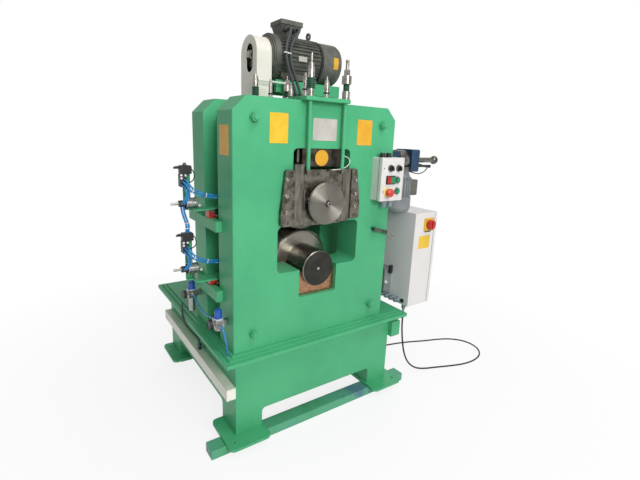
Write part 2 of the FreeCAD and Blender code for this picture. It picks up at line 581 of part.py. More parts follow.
def make_controls():
    shell = rounded(box(BOX_X, (PANEL_Y, 0), BOX_Z), 5, (0, 1, 0))
    hollow = box((BOX_X[0] + 4, BOX_X[1] - 4), (PANEL_Y + 4, -4), (BOX_Z[0] + 4, BOX_Z[1] - 4))
    x0, z0 = BOX_X[0], BOX_Z[0]
    stations = [(SELECTOR_X[0], z0 + 146, 11), (SELECTOR_X[1], z0 + 146, 11), (x0 + 100, z0 + 93, 11),
                (STOP_X, z0 + 39, 11), (x0 + 102, z0 + 43, 11)]
    twin_x = (x0 + 33, x0 + 81)
    twin_z = (z0 + 79, z0 + 109)
    shell = shell.cut(hollow)
    for x, z, r in stations:
        shell = shell.cut(cyl_y(x, (PANEL_Y - 1, PANEL_Y + 5), z, r + CLEAR))
    shell = shell.cut(box((twin_x[0] - CLEAR, twin_x[1] + CLEAR), (PANEL_Y - 1, PANEL_Y + 5), twin_z))
    node("control_box", [shell])

    trim = []
    for x, z, r in stations[:3] + stations[4:]:
        trim.append(ring(r + 1 + CLEAR, r + 4, (PANEL_Y - 5, PANEL_Y), (x, 0, z), (0, 1, 0)))
    frame = box((twin_x[0] - 4, twin_x[1] + 4), (PANEL_Y - 4, PANEL_Y), (twin_z[0] - 4, twin_z[1] + 4))
    trim.append(frame.cut(box((twin_x[0] - CLEAR, twin_x[1] + CLEAR), (-80, 0), twin_z)))
    trim.append(ring(12, 22, (PANEL_Y - 4, PANEL_Y), (STOP_X, 0, z0 + 39), (0, 1, 0)))
    switch = rounded(box((SWITCH_X - 33, SWITCH_X + 32), (-35, -27),
                         (SWITCH_Z - 33, SWITCH_Z + 32)), 4, (0, 1, 0))
    trim.append(switch.cut(cyl_y(SWITCH_X, (-40, -20), SWITCH_Z, 12)))
    node("control_trim", trim)

    for name, x in (("selector_left", SELECTOR_X[0]), ("selector_right", SELECTOR_X[1])):
        knob = cyl_y(x, (PANEL_Y - 12, PANEL_Y + 12), z0 + 146, 11)
        grip = box((x - 3, x + 3), (PANEL_Y - 22, PANEL_Y - 12), (z0 + 136, z0 + 156))
        node(name, [knob.fuse(grip)])
    for name, (x, z, r) in (("push_upper", stations[2]), ("push_lower", stations[4])):
        node(name, [cyl_y(x, (PANEL_Y - 9, PANEL_Y + 12), z, r)])
    middle = (twin_x[0] + twin_x[1]) / 2.0
    key_y = (PANEL_Y - 8, PANEL_Y + 12)
    key_z = (twin_z[0] + CLEAR, twin_z[1] - CLEAR)
    node("button_stop", [box((twin_x[0], middle - CLEAR), key_y, key_z)])
    node("button_start", [box((middle + CLEAR, twin_x[1]), key_y, key_z)])
    x, z, r = stations[3]
    stop = cyl_y(x, (PANEL_Y - 12, PANEL_Y + 12), z, r)
    cap = lathe([(0, PANEL_Y - 34), (11, PANEL_Y - 34), (18.5, PANEL_Y - 28), (18.5, PANEL_Y - 16),
                 (11, PANEL_Y - 12), (0, PANEL_Y - 12)], (x, 0, z), (0, 1, 0))
    node("estop_button", [stop.fuse(cap)])


# Electrical cabinet

CABINET_X = (HOUSING_W + 170.0, HOUSING_W + 333.0)
CABINET_Y = (-27.0, 373.0)
CABINET_Z = (8.0, ADJUST_Z - 260.0)
DOOR_T = 16.0
SWITCH_X = CABINET_X[0] + 98.0
LEAD_X = CABINET_X[0] + 15.0     # where the mains lead leaves the cabinet
SWITCH_Z = CABINET_Z[1] - 60.0
HINGE_AT = (CABINET_X[1] - DOOR_T, CABINET_Y[1] + 7.0)
HINGE_Z = (CABINET_Z[0] + 62.0, CABINET_Z[1] - 122.0)
HINGE_R = 6.0
HINGE_PIN = 2.5


def make_cabinet():
    shell_x = (CABINET_X[0], CABINET_X[1] - DOOR_T - 1)
    shell = rounded(box(shell_x, CABINET_Y, CABINET_Z), 4, (1, 0, 0))
    hollow = box((shell_x[0] + 3, shell_x[1] + 1), (CABINET_Y[0] + 3, CABINET_Y[1] - 3),
                 (CABINET_Z[0] + 3, CABINET_Z[1] - 3))
    knob_hole = cyl_y(SWITCH_X, (-30, -20), SWITCH_Z, 12)
    shell = cut_all(shell, [hollow, knob_hole])
    arms = []
    for z in (120, 400):
        arms.append(box((HOUSING_W, shell_x[0]), (290, 320), (z, z + 40)))
    shell_leaves = []
    door_leaves = []
    x, y = HINGE_AT
    leaf_y = (CABINET_Y[1], CABINET_Y[1] + 2)
    for z in HINGE_Z:
        shell_leaves += [box((x - 22, x - 1), leaf_y, (z, z + 17.7)), cyl_z(x, y, (z, z + 17.7), HINGE_R),
                         box((x - 22, x - 1), leaf_y, (z + 42.3, z + 60)),
                         cyl_z(x, y, (z + 42.3, z + 60), HINGE_R), cyl_z(x, y, (z, z + 60), HINGE_PIN)]
        leaf = box((x + 0.5, x + 14), leaf_y, (z + 18, z + 42))
        knuckle = cyl_z(x, y, (z + 18, z + 42), HINGE_R)
        door_leaves.append(leaf.fuse(knuckle).cut(cyl_z(x, y, (z, z + 60), HINGE_PIN + FIT)))
    node("cabinet_shell", [fuse_all([shell] + shell_leaves)] + arms)
    door = rounded(box((CABINET_X[1] - DOOR_T, CABINET_X[1]), CABINET_Y, CABINET_Z), 4, (1, 0, 0))
    door = door.cut(box((CABINET_X[1] - DOOR_T - 1, CABINET_X[1] - 3),
                        (CABINET_Y[0] + 3, CABINET_Y[1] - 3), (CABINET_Z[0] + 3, CABINET_Z[1] - 3)))
    node("cabinet_door", [fuse_all([door] + door_leaves)])
    knob = cyl_y(SWITCH_X, (-47, -5), SWITCH_Z, 11.5)
    wheel = cyl_y(SWITCH_X, (-56, -36), SWITCH_Z, 25)
    node("switch_knob", [knob.fuse(wheel)])

    glands = []
    wall, low = CABINET_X[0], CABINET_Z[0]
    for y in (40, 75, 110, 145):
        glands.append(shaft([(9, -34, -22), (13, -22, -6), (15, -6, 0)], (wall, y, low + 20), (1, 0, 0)))
    glands.append(cyl_x((wall - 5, wall), 12, low + 22, 11))
    for x in (BOX_X[0] + 30, BOX_X[0] + 68):
        glands.append(shaft([(15, 0, 6), (12, 6, 20)], (x, -30, BOX_Z[1]), (0, 0, 1)))
    for x in (BOX_X[0] + 59, BOX_X[0] + 96):
        glands.append(shaft([(12, -34, -16), (15, -16, 0)], (x, -30, BOX_Z[0]), (0, 0, 1)))
    glands.append(shaft([(6.5, -48, -24), (11, -24, -4), (13, -4, 0)], (LEAD_X, 12, low), (0, 0, 1)))
    node("cable_glands", glands)

    x, z = wall - 22, low + 162
    lever_box = rounded(box((wall - 52, wall), (104, 179), (low + 53, low + 182)), 5, (0, 0, 1))
    node("lever_box", [lever_box.cut(cyl_y(x, (100, 130), z, 8 + CLEAR))])
    lever = fuse_all([cyl_y(x, (88, 128), z, 8), box((x - 10, x + 10), (88, 98), (z - 5, z + 39))])
    node("black_lever", [rounded(lever, 4, (0, 1, 0), lambda c: c.z > z + 30)])

    x = HOUSING_W - 97
    handle = tube([(x, -20, 454), (x + 75, -20, 433), (x + 120, -20, 401)], 5.5, "bent handle")
    hub = cyl_y(x, (-28, 0), 454, 9)
    node("bent_handle", [fuse_all([handle, hub])])


# Compressed-air sets on the left

SET_Z = (560.0, 289.0)      # height of each air set
SHELF_Z = (566.0, 267.0)    # top of its shelf
RAIL_Z = ((485.0, 528.0), (192.0, 240.0))
RAIL_Y = (101.0, BACK_Y - 7.0)


def make_air_sets():
    brackets = []
    valves = []
    cylinders = []
    tubes = []
    names = ("cylinder_rod_upper", "cylinder_rod_lower")
    for set_z, top, rail_z, rod_name in zip(SET_Z, SHELF_Z, RAIL_Z, names):
        brackets.append(box((-27, 0), RAIL_Y, rail_z))
        brackets.append(box((-24, 20), (180, 222), (rail_z[1], top - 7)))
        brackets.append(cyl_y(4, (154, 180), rail_z[1] + 8, 8))
        shelf = box((-82, 40), (180, 252), (top - 7, top))
        tongue = box((-104, -82), (226, 252), (top - 7, top))
        upright = box((-104, -75), (246, 252), (top, set_z + 150))
        brackets.append(fuse_all([shelf, tongue, upright]))
        valves.append(rounded(box((-122, -97), (216, 246), (set_z + 92, set_z + 143)), 3, (0, 1, 0)))
        valves.append(rounded(box((-121, -76), (218, 244), (set_z + 143, set_z + 176)), 5, (0, 1, 0)))
        axis_z = set_z + 28.0
        body = fuse_all([cyl_x((-108, -64), 215, axis_z, 22), cyl_x((-132, -104), 215, axis_z, 13),
                         cyl_x((-64, -46), 215, axis_z - 12, 6),
                         box((-80, -66), (205, 225), (top, axis_z - 12))])
        cylinders.append(body.cut(cyl_x((-133, -70), 215, axis_z, 5 + FIT)))
        node(rod_name, [cyl_x((-163, -100), 215, axis_z, 5)])
        top = set_z + 108.0
        run = [(-106, 216, top + 14), (-106, 196, top + 14), (-100, 178, top - 2), (-86, 172, top - 21),
               (-50, 170, top - 38), (-19, 172, top - 44), (7, 172, top - 47), (28, 160, top - 48),
               (28, HOUSING_T, top - 48)]
        branch = [(-117, 216, top - 8), (-117, 200, top - 8), (-111, 188, top - 18),
                  (-108, 184, top - 36), (-112, 184, top - 54), (-122, 188, top - 70),
                  (-124, 202.5, top - 80)]
        for points, shift in ((run, (-7, 0, -9)), (branch, (9.5, 0, -1))):
            tubes.append(tube(points, 4, "air tube"))
            tubes.append(tube([tuple(a + b for a, b in zip(point, shift)) for point in points], 4,
                              "air tube"))
    low = SET_Z[1] + 176.0
    link = [(-123, 215, SET_Z[0] + 15.5), (-123, 214, SET_Z[0]), (-118, 211, SET_Z[0] - 22),
            (-109, 211, SET_Z[0] - 50), (-104, 216, low + 26), (-104, 224, low + 12), (-104, 224, low)]
    for dx in (0, 9.5):
        tubes.append(tube([(x + dx, y, z) for x, y, z in link], 4, "air tube"))
    node("air_brackets", brackets)
    node("solenoid_valves", valves)
    node("cylinder_bodies", cylinders)

    regulators = []
    for name, x, y, z, depth in (("regulator_knob_rear", -42.0, 375.0, 160.0, 100.0),
                                 ("regulator_knob_front", -38.0, 62.0, 141.0, 48.0)):
        regulators.append(fuse_all([box((x - 18, x + 18), (y - 18, y + 18), (z - 36, z)),
                                    box((x + 18, 0), (y - 12, y + 12), (z - 30, z - 8)),
                                    cyl_z(x, y, (z - depth, z - 36), 15),
                                    cyl_x((x - 26, x - 18), y, z - 18, 6),
                                    cyl_x((x - 38, x - 26), y, z - 18, 19),
                                    cyl_y(x, (y - 26, y - 18), z - 18, 7)]))
        node(name, [shaft([(17, z, z + 10), (15, z + 10, z + 36), (12, z + 36, z + 41)],
                          (x, y, 0), (0, 0, 1))])
    node("regulators", regulators)
    tubes.append(tube([(-42, 349, 142), (-42, 328, 138), (-43, 297, 120), (-43, 233, 107),
                       (-42, 160, 112), (-39, 114, 122), (-38, 88, 123)], 4, "air tube"))
    tubes.append(tube([(-38, 36, 123), (-38, 24, 120), (-36, 12, 104), (-30, 9, 70),
                       (-21, 12, 30), (-21, 14, -7)], 4, "air tube"))
    fittings = Part.makeCompound(cylinders + valves + regulators + [NODES["table_top"][0]])
    node("air_tubes", [max(t.cut(fittings).Solids, key=lambda s: s.Volume) for t in tubes])


# Mains lead, in one hanging and lying route with a tied coil behind the right leg

CORD_R = 4.5
CORD_FLOOR = FLOOR_Z + CORD_R + 0.1
CORD_DROP = [(0, 12, -40), (0, 12, -110), (13, 10, -205), (33, 8, -290), (71, 6, -362),
             (133, 2, -414), (211, -4, -440)]
CORD_LIE = [(297, -26), (385, -62), (479, -92), (577, -98), (669, -72), (731, -2), (731, 92), (665, 166),
            (575, 206), (481, 236), (389, 276), (295, 306), (205, 326), (145, 337.65), (99, 337.65)]
CORD_ROUTE = [(LEAD_X + dx, y, z) for dx, y, z in CORD_DROP]
CORD_ROUTE += [(LEAD_X + dx, y, CORD_FLOOR) for dx, y in CORD_LIE]
COIL_CENTRE = (LEAD_X + 79.0, 395.0)
COIL_R = (43.5, 62.0)
COIL_TURN = 57.35
COIL_H = 36.8


def make_mains_lead():
    lead = tube(CORD_ROUTE, CORD_R, "mains cable")
    node("mains_cable", [lead])
    coil = ring(COIL_R[0], COIL_R[1], (FLOOR_Z + 0.1, FLOOR_Z + COIL_H),
                (COIL_CENTRE[0], COIL_CENTRE[1], 0), (0, 0, 1))
    print("coil reached by the lead's end:", round(coil.distToShape(lead)[0], 3))
    node("cable_coil", [coil])
    x, y = COIL_CENTRE
    tail_y = y - COIL_TURN
    plug = shaft([(CORD_R, -26, 0), (8, 0, 40), (14, 40, 66), (22, 66, 86), (26, 86, 150), (29, 150, 162)],
                 (x - 44, tail_y, FLOOR_Z + 29.2), (-1, 0, 0))
    node("mains_plug", [plug.cut(coil)])


make_base()
make_housings()
make_rolls()
make_drive()
make_adjuster()
make_controls()
make_cabinet()
make_air_sets()
make_mains_lead()

os.makedirs("parts", exist_ok=True)
for name, shapes in NODES.items():
    solids = []
    for shape in shapes:
        solids += shape.Solids
    moved = []
    for solid in solids:
        copy = solid.copy()
        copy.translate(ORIGIN * -1)
        if not copy.isValid():
            print("NOT VALID", name)
        moved.append(copy)
    Part.makeCompound(moved).exportStep("parts/" + name + ".step")
print(len(NODES), "nodes")
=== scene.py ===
# %% [markdown]
# # A two-roll rolling stand
#
# The real object is a free-standing machine: two thick green plates on a stepped table, two
# steel rolls across them, a motor on top, an electrical cabinet on the right and two sets of
# air valves on the left. Its parts come from a construction model, loaded as a fixed frame.
# This lesson gives them their finishes and adds the forms that a construction model leaves out.

# %% Load the frame
import math

import bmesh
import bpy
from mathutils import Matrix, Vector


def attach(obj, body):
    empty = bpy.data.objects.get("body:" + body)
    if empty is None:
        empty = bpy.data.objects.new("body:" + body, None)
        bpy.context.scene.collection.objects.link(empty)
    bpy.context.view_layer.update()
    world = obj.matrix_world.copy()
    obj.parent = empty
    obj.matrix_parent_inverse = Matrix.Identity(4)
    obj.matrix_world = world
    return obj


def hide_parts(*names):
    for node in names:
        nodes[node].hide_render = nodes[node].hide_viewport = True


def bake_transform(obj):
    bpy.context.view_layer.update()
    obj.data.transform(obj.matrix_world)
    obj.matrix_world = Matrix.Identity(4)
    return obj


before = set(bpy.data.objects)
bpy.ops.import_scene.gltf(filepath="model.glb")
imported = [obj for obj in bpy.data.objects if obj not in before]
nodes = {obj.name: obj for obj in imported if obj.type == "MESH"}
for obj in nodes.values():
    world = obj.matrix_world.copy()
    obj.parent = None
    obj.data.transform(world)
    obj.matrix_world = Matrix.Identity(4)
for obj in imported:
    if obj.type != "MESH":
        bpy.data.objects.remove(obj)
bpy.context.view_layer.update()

# %% [markdown]
# The drawing of the machine counts millimetres from the lower left corner of its front plate:
# X to the right, Y to the back and Z up. One helper turns such a point into the frame, which
# counts metres from the floor. Keeping the drawing's numbers makes each piece easy to find on
# the real machine.

# %% From the drawing to the frame
DATUM = Vector((517.0, 436.0, -450.0))
FLOOR = DATUM.z
TO_RIGHT, TO_LEFT, TO_FRONT, UP = (1, 0, 0), (-1, 0, 0), (0, -1, 0), (0, 0, 1)


def at(x, y, z):
    return (Vector((x, y, z)) - DATUM) / 1000.0


print("front plate's lower left corner", [round(v, 3) for v in at(0, 0, 0)])

# %% [markdown]
# ## The camera
#
# The photograph was taken standing, from the front left. Its eye was found from the machine's
# edges: the place, the turn to the right, the tilt down and a slight roll. A lens and a small
# shift finish the match. Shift moves the picture without turning the camera, as a view camera
# does.

# %% Camera
PICTURE_W, PICTURE_H = 640, 480
EYE = at(-598, -1386, 867)
YAW, PITCH, ROLL = (math.radians(a) for a in (35.1, -13.4, 2.33))
FOCAL_PX = 408.0
CENTRE_PX = (315.3, 233.4)
SENSOR = 36.0

lens = bpy.data.cameras.new("photo_lens")
lens.sensor_width = SENSOR
lens.lens = FOCAL_PX * SENSOR / PICTURE_W
lens.shift_x = (PICTURE_W / 2 - CENTRE_PX[0]) / PICTURE_W
lens.shift_y = (CENTRE_PX[1] - PICTURE_H / 2) / PICTURE_W
lens.clip_start, lens.clip_end = 0.1, 60.0
camera = bpy.data.objects.new("photo_camera", lens)
bpy.context.scene.collection.objects.link(camera)
ahead = Vector((math.sin(YAW) * math.cos(PITCH), math.cos(YAW) * math.cos(PITCH), math.sin(PITCH)))
level = Vector((math.cos(YAW), -math.sin(YAW), 0.0))
upward = level.cross(ahead)
side = level * math.cos(ROLL) + upward * math.sin(ROLL)
top = upward * math.cos(ROLL) - level * math.sin(ROLL)
facing = Matrix((side, top, -ahead)).transposed().to_4x4()
camera.matrix_world = Matrix.Translation(EYE) @ facing
bpy.context.scene.camera = camera
bpy.context.scene.view_settings.view_transform = "Standard"
print("lens", round(lens.lens, 2), "mm, shift", round(lens.shift_x, 4), round(lens.shift_y, 4))

# %% [markdown]
# ## Small helpers
#
# Colours are written as the hex values of a colour picker. Blender counts light linearly, so
# one function turns them. Another adds a node to a material with its settings and its links,
# which keeps every finish below down to the lines that say something about the surface. What
# is made goes on a list, so that a step can end by telling it.

# %% Colour and node helpers
def linear(hex_colour):
    channels = [int(hex_colour[i:i + 2], 16) / 255 for i in (1, 3, 5)]
    return [c / 12.92 if c <= 0.04045 else ((c + 0.055) / 1.055) ** 2.4 for c in channels] + [1.0]


def add(tree, kind, settings=None, **inputs):
    """Adds a node. Each input is a value, a socket to link or a node, for its first output."""
    node = tree.nodes.new("ShaderNode" + kind)
    for key, value in (settings or {}).items():
        setattr(node, key, value)
    for key, value in inputs.items():
        numbered = key[0] == "i" and key[1:].isdigit()
        key = int(key[1:]) if numbered else key.replace("_", " ")
        if isinstance(value, bpy.types.Node):
            value = value.outputs[0]
        if isinstance(value, bpy.types.NodeSocket):
            tree.links.new(value, node.inputs[key])
        else:
            node.inputs[key].default_value = value
    return node


made = []


def new_material(name):
    material = bpy.data.materials.new(name)
    material.use_nodes = True
    material.node_tree.nodes.clear()
    made.append(name)
    return material, material.node_tree


def tell(title):
    """Prints the names of what was made since the last time."""
    print(title + ":", ", ".join(made))
    made.clear()


print("mid grey #808080 is", round(linear("#808080")[0], 3), "in linear light")

# %% [markdown]
# ## The room
#
# The photograph has been cut out on white. A pale floor under a white world stands for that.
# The camera sees the world white, and metal reflects it at about two thirds, as it would a
# room behind the viewer. Matt surfaces are lit by a lower level, so their colours come out
# about as written. Light Path tells which of these is asking.

# %% World
WHITE = linear("#ffffff")
LIT_LEVEL = 0.235
MIRROR_SHARE = 0.55

world = bpy.data.worlds.new("white_studio")
world.use_nodes = True
tree = world.node_tree
tree.nodes.clear()
path = add(tree, "LightPath")
mirrored = add(tree, "Math", {"operation": "MULTIPLY"}, i0=path.outputs["Is Glossy Ray"],
               i1=MIRROR_SHARE)
seen = add(tree, "Math", {"operation": "MAXIMUM"}, i0=path.outputs["Is Camera Ray"], i1=mirrored)
seen = add(tree, "Math", {"operation": "MAXIMUM"}, i0=seen, i1=path.outputs["Is Transmission Ray"])
strength = add(tree, "Mix", {"data_type": "FLOAT"}, i0=seen, i2=LIT_LEVEL, i3=1.0)
sky = add(tree, "Background", Color=WHITE, Strength=strength)
add(tree, "OutputWorld", Surface=sky)
bpy.context.scene.world = world
print("world: lights at", LIT_LEVEL, "and shows white")

# %% [markdown]
# The floor is a matt white sheet to the light that bounces about. To the camera and to
# reflections it is white light with a small share of that sheet mixed in, which leaves a
# faint, soft shadow under the machine. The share fades out around it, so the floor has no
# edge against the world.

# %% Floor
FLOOR_HALF = 7.0
FLOOR_DROP = 0.0005
SHEET_SHARE = 0.17
SHARE_FADES = (0.6, 2.2)

material, tree = new_material("matt_white_floor")
path = add(tree, "LightPath")
seen = add(tree, "Math", {"operation": "MAXIMUM"}, i0=path.outputs["Is Camera Ray"],
           i1=path.outputs["Is Glossy Ray"])
place = add(tree, "TexCoord")
reach = add(tree, "VectorMath", {"operation": "LENGTH"}, i0=place.outputs["Object"])
fade = add(tree, "MapRange", Value=reach.outputs["Value"], From_Min=SHARE_FADES[0],
           From_Max=SHARE_FADES[1], To_Min=SHEET_SHARE, To_Max=0.0)
share = add(tree, "Mix", {"data_type": "FLOAT"}, i0=seen, i2=1.0, i3=fade)
glow = add(tree, "Emission", Color=WHITE, Strength=1.0)
matt = add(tree, "BsdfDiffuse", Color=linear("#f7f7f5"))
both = add(tree, "MixShader", i0=share, i1=glow, i2=matt)
add(tree, "OutputMaterial", Surface=both)
mesh = bpy.data.meshes.new("studio_floor")
corners = [(x * FLOOR_HALF, y * FLOOR_HALF, 0) for x, y in ((-1, -1), (1, -1), (1, 1), (-1, 1))]
mesh.from_pydata(corners, [], [(0, 1, 2, 3)])
floor = bpy.data.objects.new("studio_floor", mesh)
floor.location.z = -FLOOR_DROP
floor.data.materials.append(material)
bpy.context.scene.collection.objects.link(floor)
tell("floor, %d m square" % (2 * FLOOR_HALF))

# %% [markdown]
# The front faces in the photograph are about twice as bright as the left ones, and the turned
# roll ends shine towards ten o'clock. Both say where the window was: behind the camera, a
# little to its left and above it. Upward faces are nearly as bright as the front ones, so a
# wide light also comes from above. A weaker one from behind separates the far edges.

# %% Lights
def soft_lamp(name, place, target, size, watts):
    lamp = bpy.data.lights.new(name, "AREA")
    lamp.shape, lamp.size, lamp.size_y, lamp.energy = "RECTANGLE", size[0], size[1], watts
    holder = bpy.data.objects.new(name, lamp)
    holder.location = place
    holder.rotation_mode = "QUATERNION"
    holder.rotation_quaternion = (Vector(place) - Vector(target)).to_track_quat("Z", "Y")
    bpy.context.scene.collection.objects.link(holder)
    print(name, watts, "W")


soft_lamp("key_light", (-0.9, -4.7, 2.8), (0, 0, 0.9), (2.2, 1.6), 128)
soft_lamp("sky_light", (0.2, -2.4, 4.4), (0, -0.5, 0), (2.4, 1.8), 62)
soft_lamp("rim_light", (2.6, 3.6, 3.2), (0, 0, 1.0), (3.0, 2.0), 45)

# %% [markdown]
# ## Finishes
#
# Most surfaces here are paint over cast or plate steel. Paint is a smooth skin that follows a
# slightly uneven ground, so each painted finish has three things: a colour that drifts a
# little over a hand's width, a fine orange-peel bump, and edges softened by the thickness of
# the coat. Machined steel has no skin: its colour and gloss change with oil, rust and the
# marks of the cutter. One function holds what all finishes share, and each finish then says
# its own colours, grain sizes in millimetres and gloss.
#
# A noise texture keeps mostly to the middle of its range. Its values are spread from there,
# or the colours at both ends would never be reached.

# %% One function for finishes
EDGE_SAMPLES = 4
NOISE_RANGE = (0.3, 0.7)
GRAIN_HEIGHT = 0.001


def spread_colours(ramp, colours, contrast):
    """Sets a colour ramp to colours at even steps between two values."""
    first, last = ramp.color_ramp.elements
    first.position, last.position = contrast
    first.color, last.color = linear(colours[0]), linear(colours[-1])
    for i, colour in enumerate(colours[1:-1]):
        share = (i + 1) / (len(colours) - 1)
        middle = ramp.color_ramp.elements.new(contrast[0] + (contrast[1] - contrast[0]) * share)
        middle.color = linear(colour)


def finish(name, colours, patch_mm, gloss, edge_mm, grain_mm=1.2, bump=0.15, metal=0.0,
           streak=(1.0, 1.0, 1.0), contrast=(0.35, 0.65), ior=None):
    """A surface whose colour drifts between the given colours over patches of a real size."""
    material, tree = new_material(name)
    place = add(tree, "TexCoord")
    spread = add(tree, "Mapping", Vector=place.outputs["Object"], Scale=streak)
    patches = add(tree, "TexNoise", Vector=spread, Scale=1000.0 / patch_mm, Detail=6.0,
                  Roughness=0.6)
    ramp = add(tree, "ValToRGB", Fac=patches)
    spread_colours(ramp, colours, contrast)
    grain = add(tree, "TexNoise", Vector=spread, Scale=1000.0 / grain_mm, Detail=2.0)
    rough = add(tree, "MapRange", Value=patches, From_Min=NOISE_RANGE[0],
                From_Max=NOISE_RANGE[1], To_Min=gloss[0], To_Max=gloss[1])
    edge = add(tree, "Bevel", {"samples": EDGE_SAMPLES}, Radius=edge_mm / 1000.0)
    relief = add(tree, "Bump", Height=grain, Distance=GRAIN_HEIGHT, Strength=bump, Normal=edge)
    skin = add(tree, "BsdfPrincipled", Base_Color=ramp, Roughness=rough, Metallic=metal,
               Normal=relief)
    if ior:
        skin.inputs["IOR"].default_value = ior
    add(tree, "OutputMaterial", Surface=skin)
    return material


# %% [markdown]
# ## Paints
#
# Machine enamel is an alkyd or two-pack paint with an IOR near 1.5. It is sprayed on and
# dries semi-gloss: a broad, soft highlight. The green one covers housings, table and base,
# where fillers and castings leave it slightly wavy. It is a little dusty, so its IOR was
# brought down to match. The bar under the front feet is scuffed to blue-grey in places, and
# the springs are a darker green.

# %% Enamel on the stand
green_enamel = finish("green_machine_enamel", ("#48a777", "#4cae7b", "#51b380"), patch_mm=260,
                      grain_mm=2.2, bump=0.10, gloss=(0.36, 0.48), edge_mm=3.0, ior=1.4)
beam_enamel = finish("green_enamel_on_beam", ("#4b9f73", "#53a87b", "#58a588", "#527f8c"),
                     patch_mm=160, grain_mm=1.6, bump=0.2, gloss=(0.4, 0.6), edge_mm=2.0, ior=1.5)
spring_enamel = finish("dark_green_spring_paint", ("#17442f", "#23583e"), patch_mm=20, bump=0.1,
                       gloss=(0.35, 0.5), edge_mm=0.4, ior=1.5)
tell("enamel")

# %% [markdown]
# Powder coat on the cabinet is baked on, pale, with a fine orange peel. The motor's
# grey-green enamel is thin and dull over cast iron, and the adjusting gearbox is dark blue.

# %% Enamel and powder coat on the fittings
cream_enamel = finish("cream_enamel_on_sheet", ("#f1ede0", "#faf8ee"), patch_mm=200, bump=0.05,
                      gloss=(0.3, 0.4), edge_mm=4.0, ior=1.5)
powder_coat = finish("pale_powder_coat", ("#dedad8", "#e7e4e2"), patch_mm=300, grain_mm=1.5,
                     bump=0.12, gloss=(0.4, 0.5), edge_mm=2.5, ior=1.5)
# A pinker copy for the cabinet's left side: painted light, a tint that cancels the green light
# bounced onto it from the housing.
powder_coat_left_painted_light = finish("pale_powder_coat_left_side_painted_light", ("#ece3ea", "#f2e9f0"), patch_mm=300,
                           grain_mm=1.5, bump=0.12, gloss=(0.4, 0.5), edge_mm=2.5, ior=1.5)
motor_enamel = finish("olive_grey_motor_enamel", ("#4a4c45", "#5b5d55", "#6a6c63"), patch_mm=60,
                      grain_mm=1.0, bump=0.25, gloss=(0.42, 0.6), edge_mm=1.5, ior=1.5)
gearmotor_enamel = finish("grey_gearmotor_enamel", ("#767b7d", "#8b9092"), patch_mm=70, bump=0.2,
                          gloss=(0.38, 0.5), edge_mm=1.5, ior=1.5)
blue_enamel = finish("dark_blue_gearbox_enamel", ("#17314c", "#214364"), patch_mm=60, bump=0.2,
                     gloss=(0.3, 0.42), edge_mm=2.0, ior=1.5)
tell("fittings")

# %% [markdown]
# ## Bare metals
#
# A metal's colour is its reflection, so metallic is one and the IOR stays at its default.
# Ground steel is bright and slightly satin. The chocks and side plates around the upper
# roll are older: handled with oily gloves, spotted brown where rust began, darker where
# scale was left. The patch size is that of a thumb, and the brown is one colour among the
# greys. Bronze under the lower roll was milled, which leaves fine lines along one axis.

# %% Metal finishes
def bare_metal(name, *colours, **more):
    return finish(name, colours, metal=1.0, **more)


bright_steel = bare_metal("ground_bright_steel", "#87837c", "#a5a19a", "#b9b5ae", patch_mm=18,
                          grain_mm=0.8, bump=0.08, gloss=(0.2, 0.34), edge_mm=0.6)
oily_steel = bare_metal("oily_stained_steel", "#47433b", "#5f5c53", "#747067", "#87837a",
                        "#5d5045", patch_mm=26, grain_mm=1.4, bump=0.3, gloss=(0.26, 0.46),
                        edge_mm=0.8, contrast=(0.3, 0.72))
cast_aluminium = bare_metal("natural_aluminium", "#8e908f", "#b3b5b4", patch_mm=14,
                            grain_mm=0.6, bump=0.12, gloss=(0.26, 0.38), edge_mm=0.5)
milled_steel = bare_metal("milled_steel", "#5c5951", "#77746b", "#8f8b81", patch_mm=24,
                          grain_mm=1.0, gloss=(0.3, 0.44), edge_mm=0.6, streak=(1.0, 1.0, 0.3))
browned_steel = bare_metal("browned_block_steel", "#3b342e", "#5a514a", "#6b625b", patch_mm=40,
                           bump=0.2, gloss=(0.36, 0.5), edge_mm=0.8)
dark_steel = bare_metal("dark_handled_steel", "#53564e", "#74776e", patch_mm=20, grain_mm=0.8,
                        bump=0.1, gloss=(0.25, 0.35), edge_mm=0.5)
milled_bronze = bare_metal("milled_bronze", "#8a684c", "#a97e61", "#c89b7c", patch_mm=26,
                           grain_mm=1.0, gloss=(0.28, 0.42), edge_mm=0.6, streak=(1.0, 1.0, 6.0))
tell("metals")

# %% [markdown]
# ## Plastics and rubber
#
# Moulded plastic is coloured right through and smooth, with an IOR near 1.5 and a narrow
# highlight. PVC and rubber sheaths are duller, and carry dust. Polyurethane air tube is
# glossy and a little translucent, which a strong colour and a low roughness suggest.

# %% Plastic finishes
def moulded(name, dark, pale, gloss=(0.22, 0.32)):
    return finish(name, (dark, pale), patch_mm=25, grain_mm=0.8, bump=0.05, gloss=gloss,
                  edge_mm=0.5, ior=1.5)


black_nylon = moulded("black_moulded_nylon", "#1c1c1d", "#28282a", gloss=(0.35, 0.48))
white_nylon = moulded("white_moulded_nylon", "#dcdcd8", "#eeeeea")
grey_nylon = moulded("grey_moulded_nylon", "#7d888f", "#929ca2", gloss=(0.35, 0.45))
blue_gland_nylon = moulded("blue_grey_gland_nylon", "#2c3446", "#3a4358", gloss=(0.35, 0.45))
red_abs = moulded("red_moulded_abs", "#b01f1b", "#c72a22")
stop_red_abs = moulded("bright_red_moulded_abs", "#cf3b2c", "#e04c3a")
pale_yellow_abs = moulded("pale_yellow_moulded_abs", "#e8d678", "#f1e394")
green_abs = moulded("green_moulded_abs", "#127a4e", "#1a8f5d")
blue_abs = moulded("blue_moulded_knob", "#1c4fa8", "#2a62c4")
cable_pvc = moulded("black_cable_sheath", "#0d0d0d", "#181818", gloss=(0.45, 0.6))
motor_cable_pvc = moulded("grey_cable_sheath", "#3c3f40", "#505355", gloss=(0.5, 0.65))
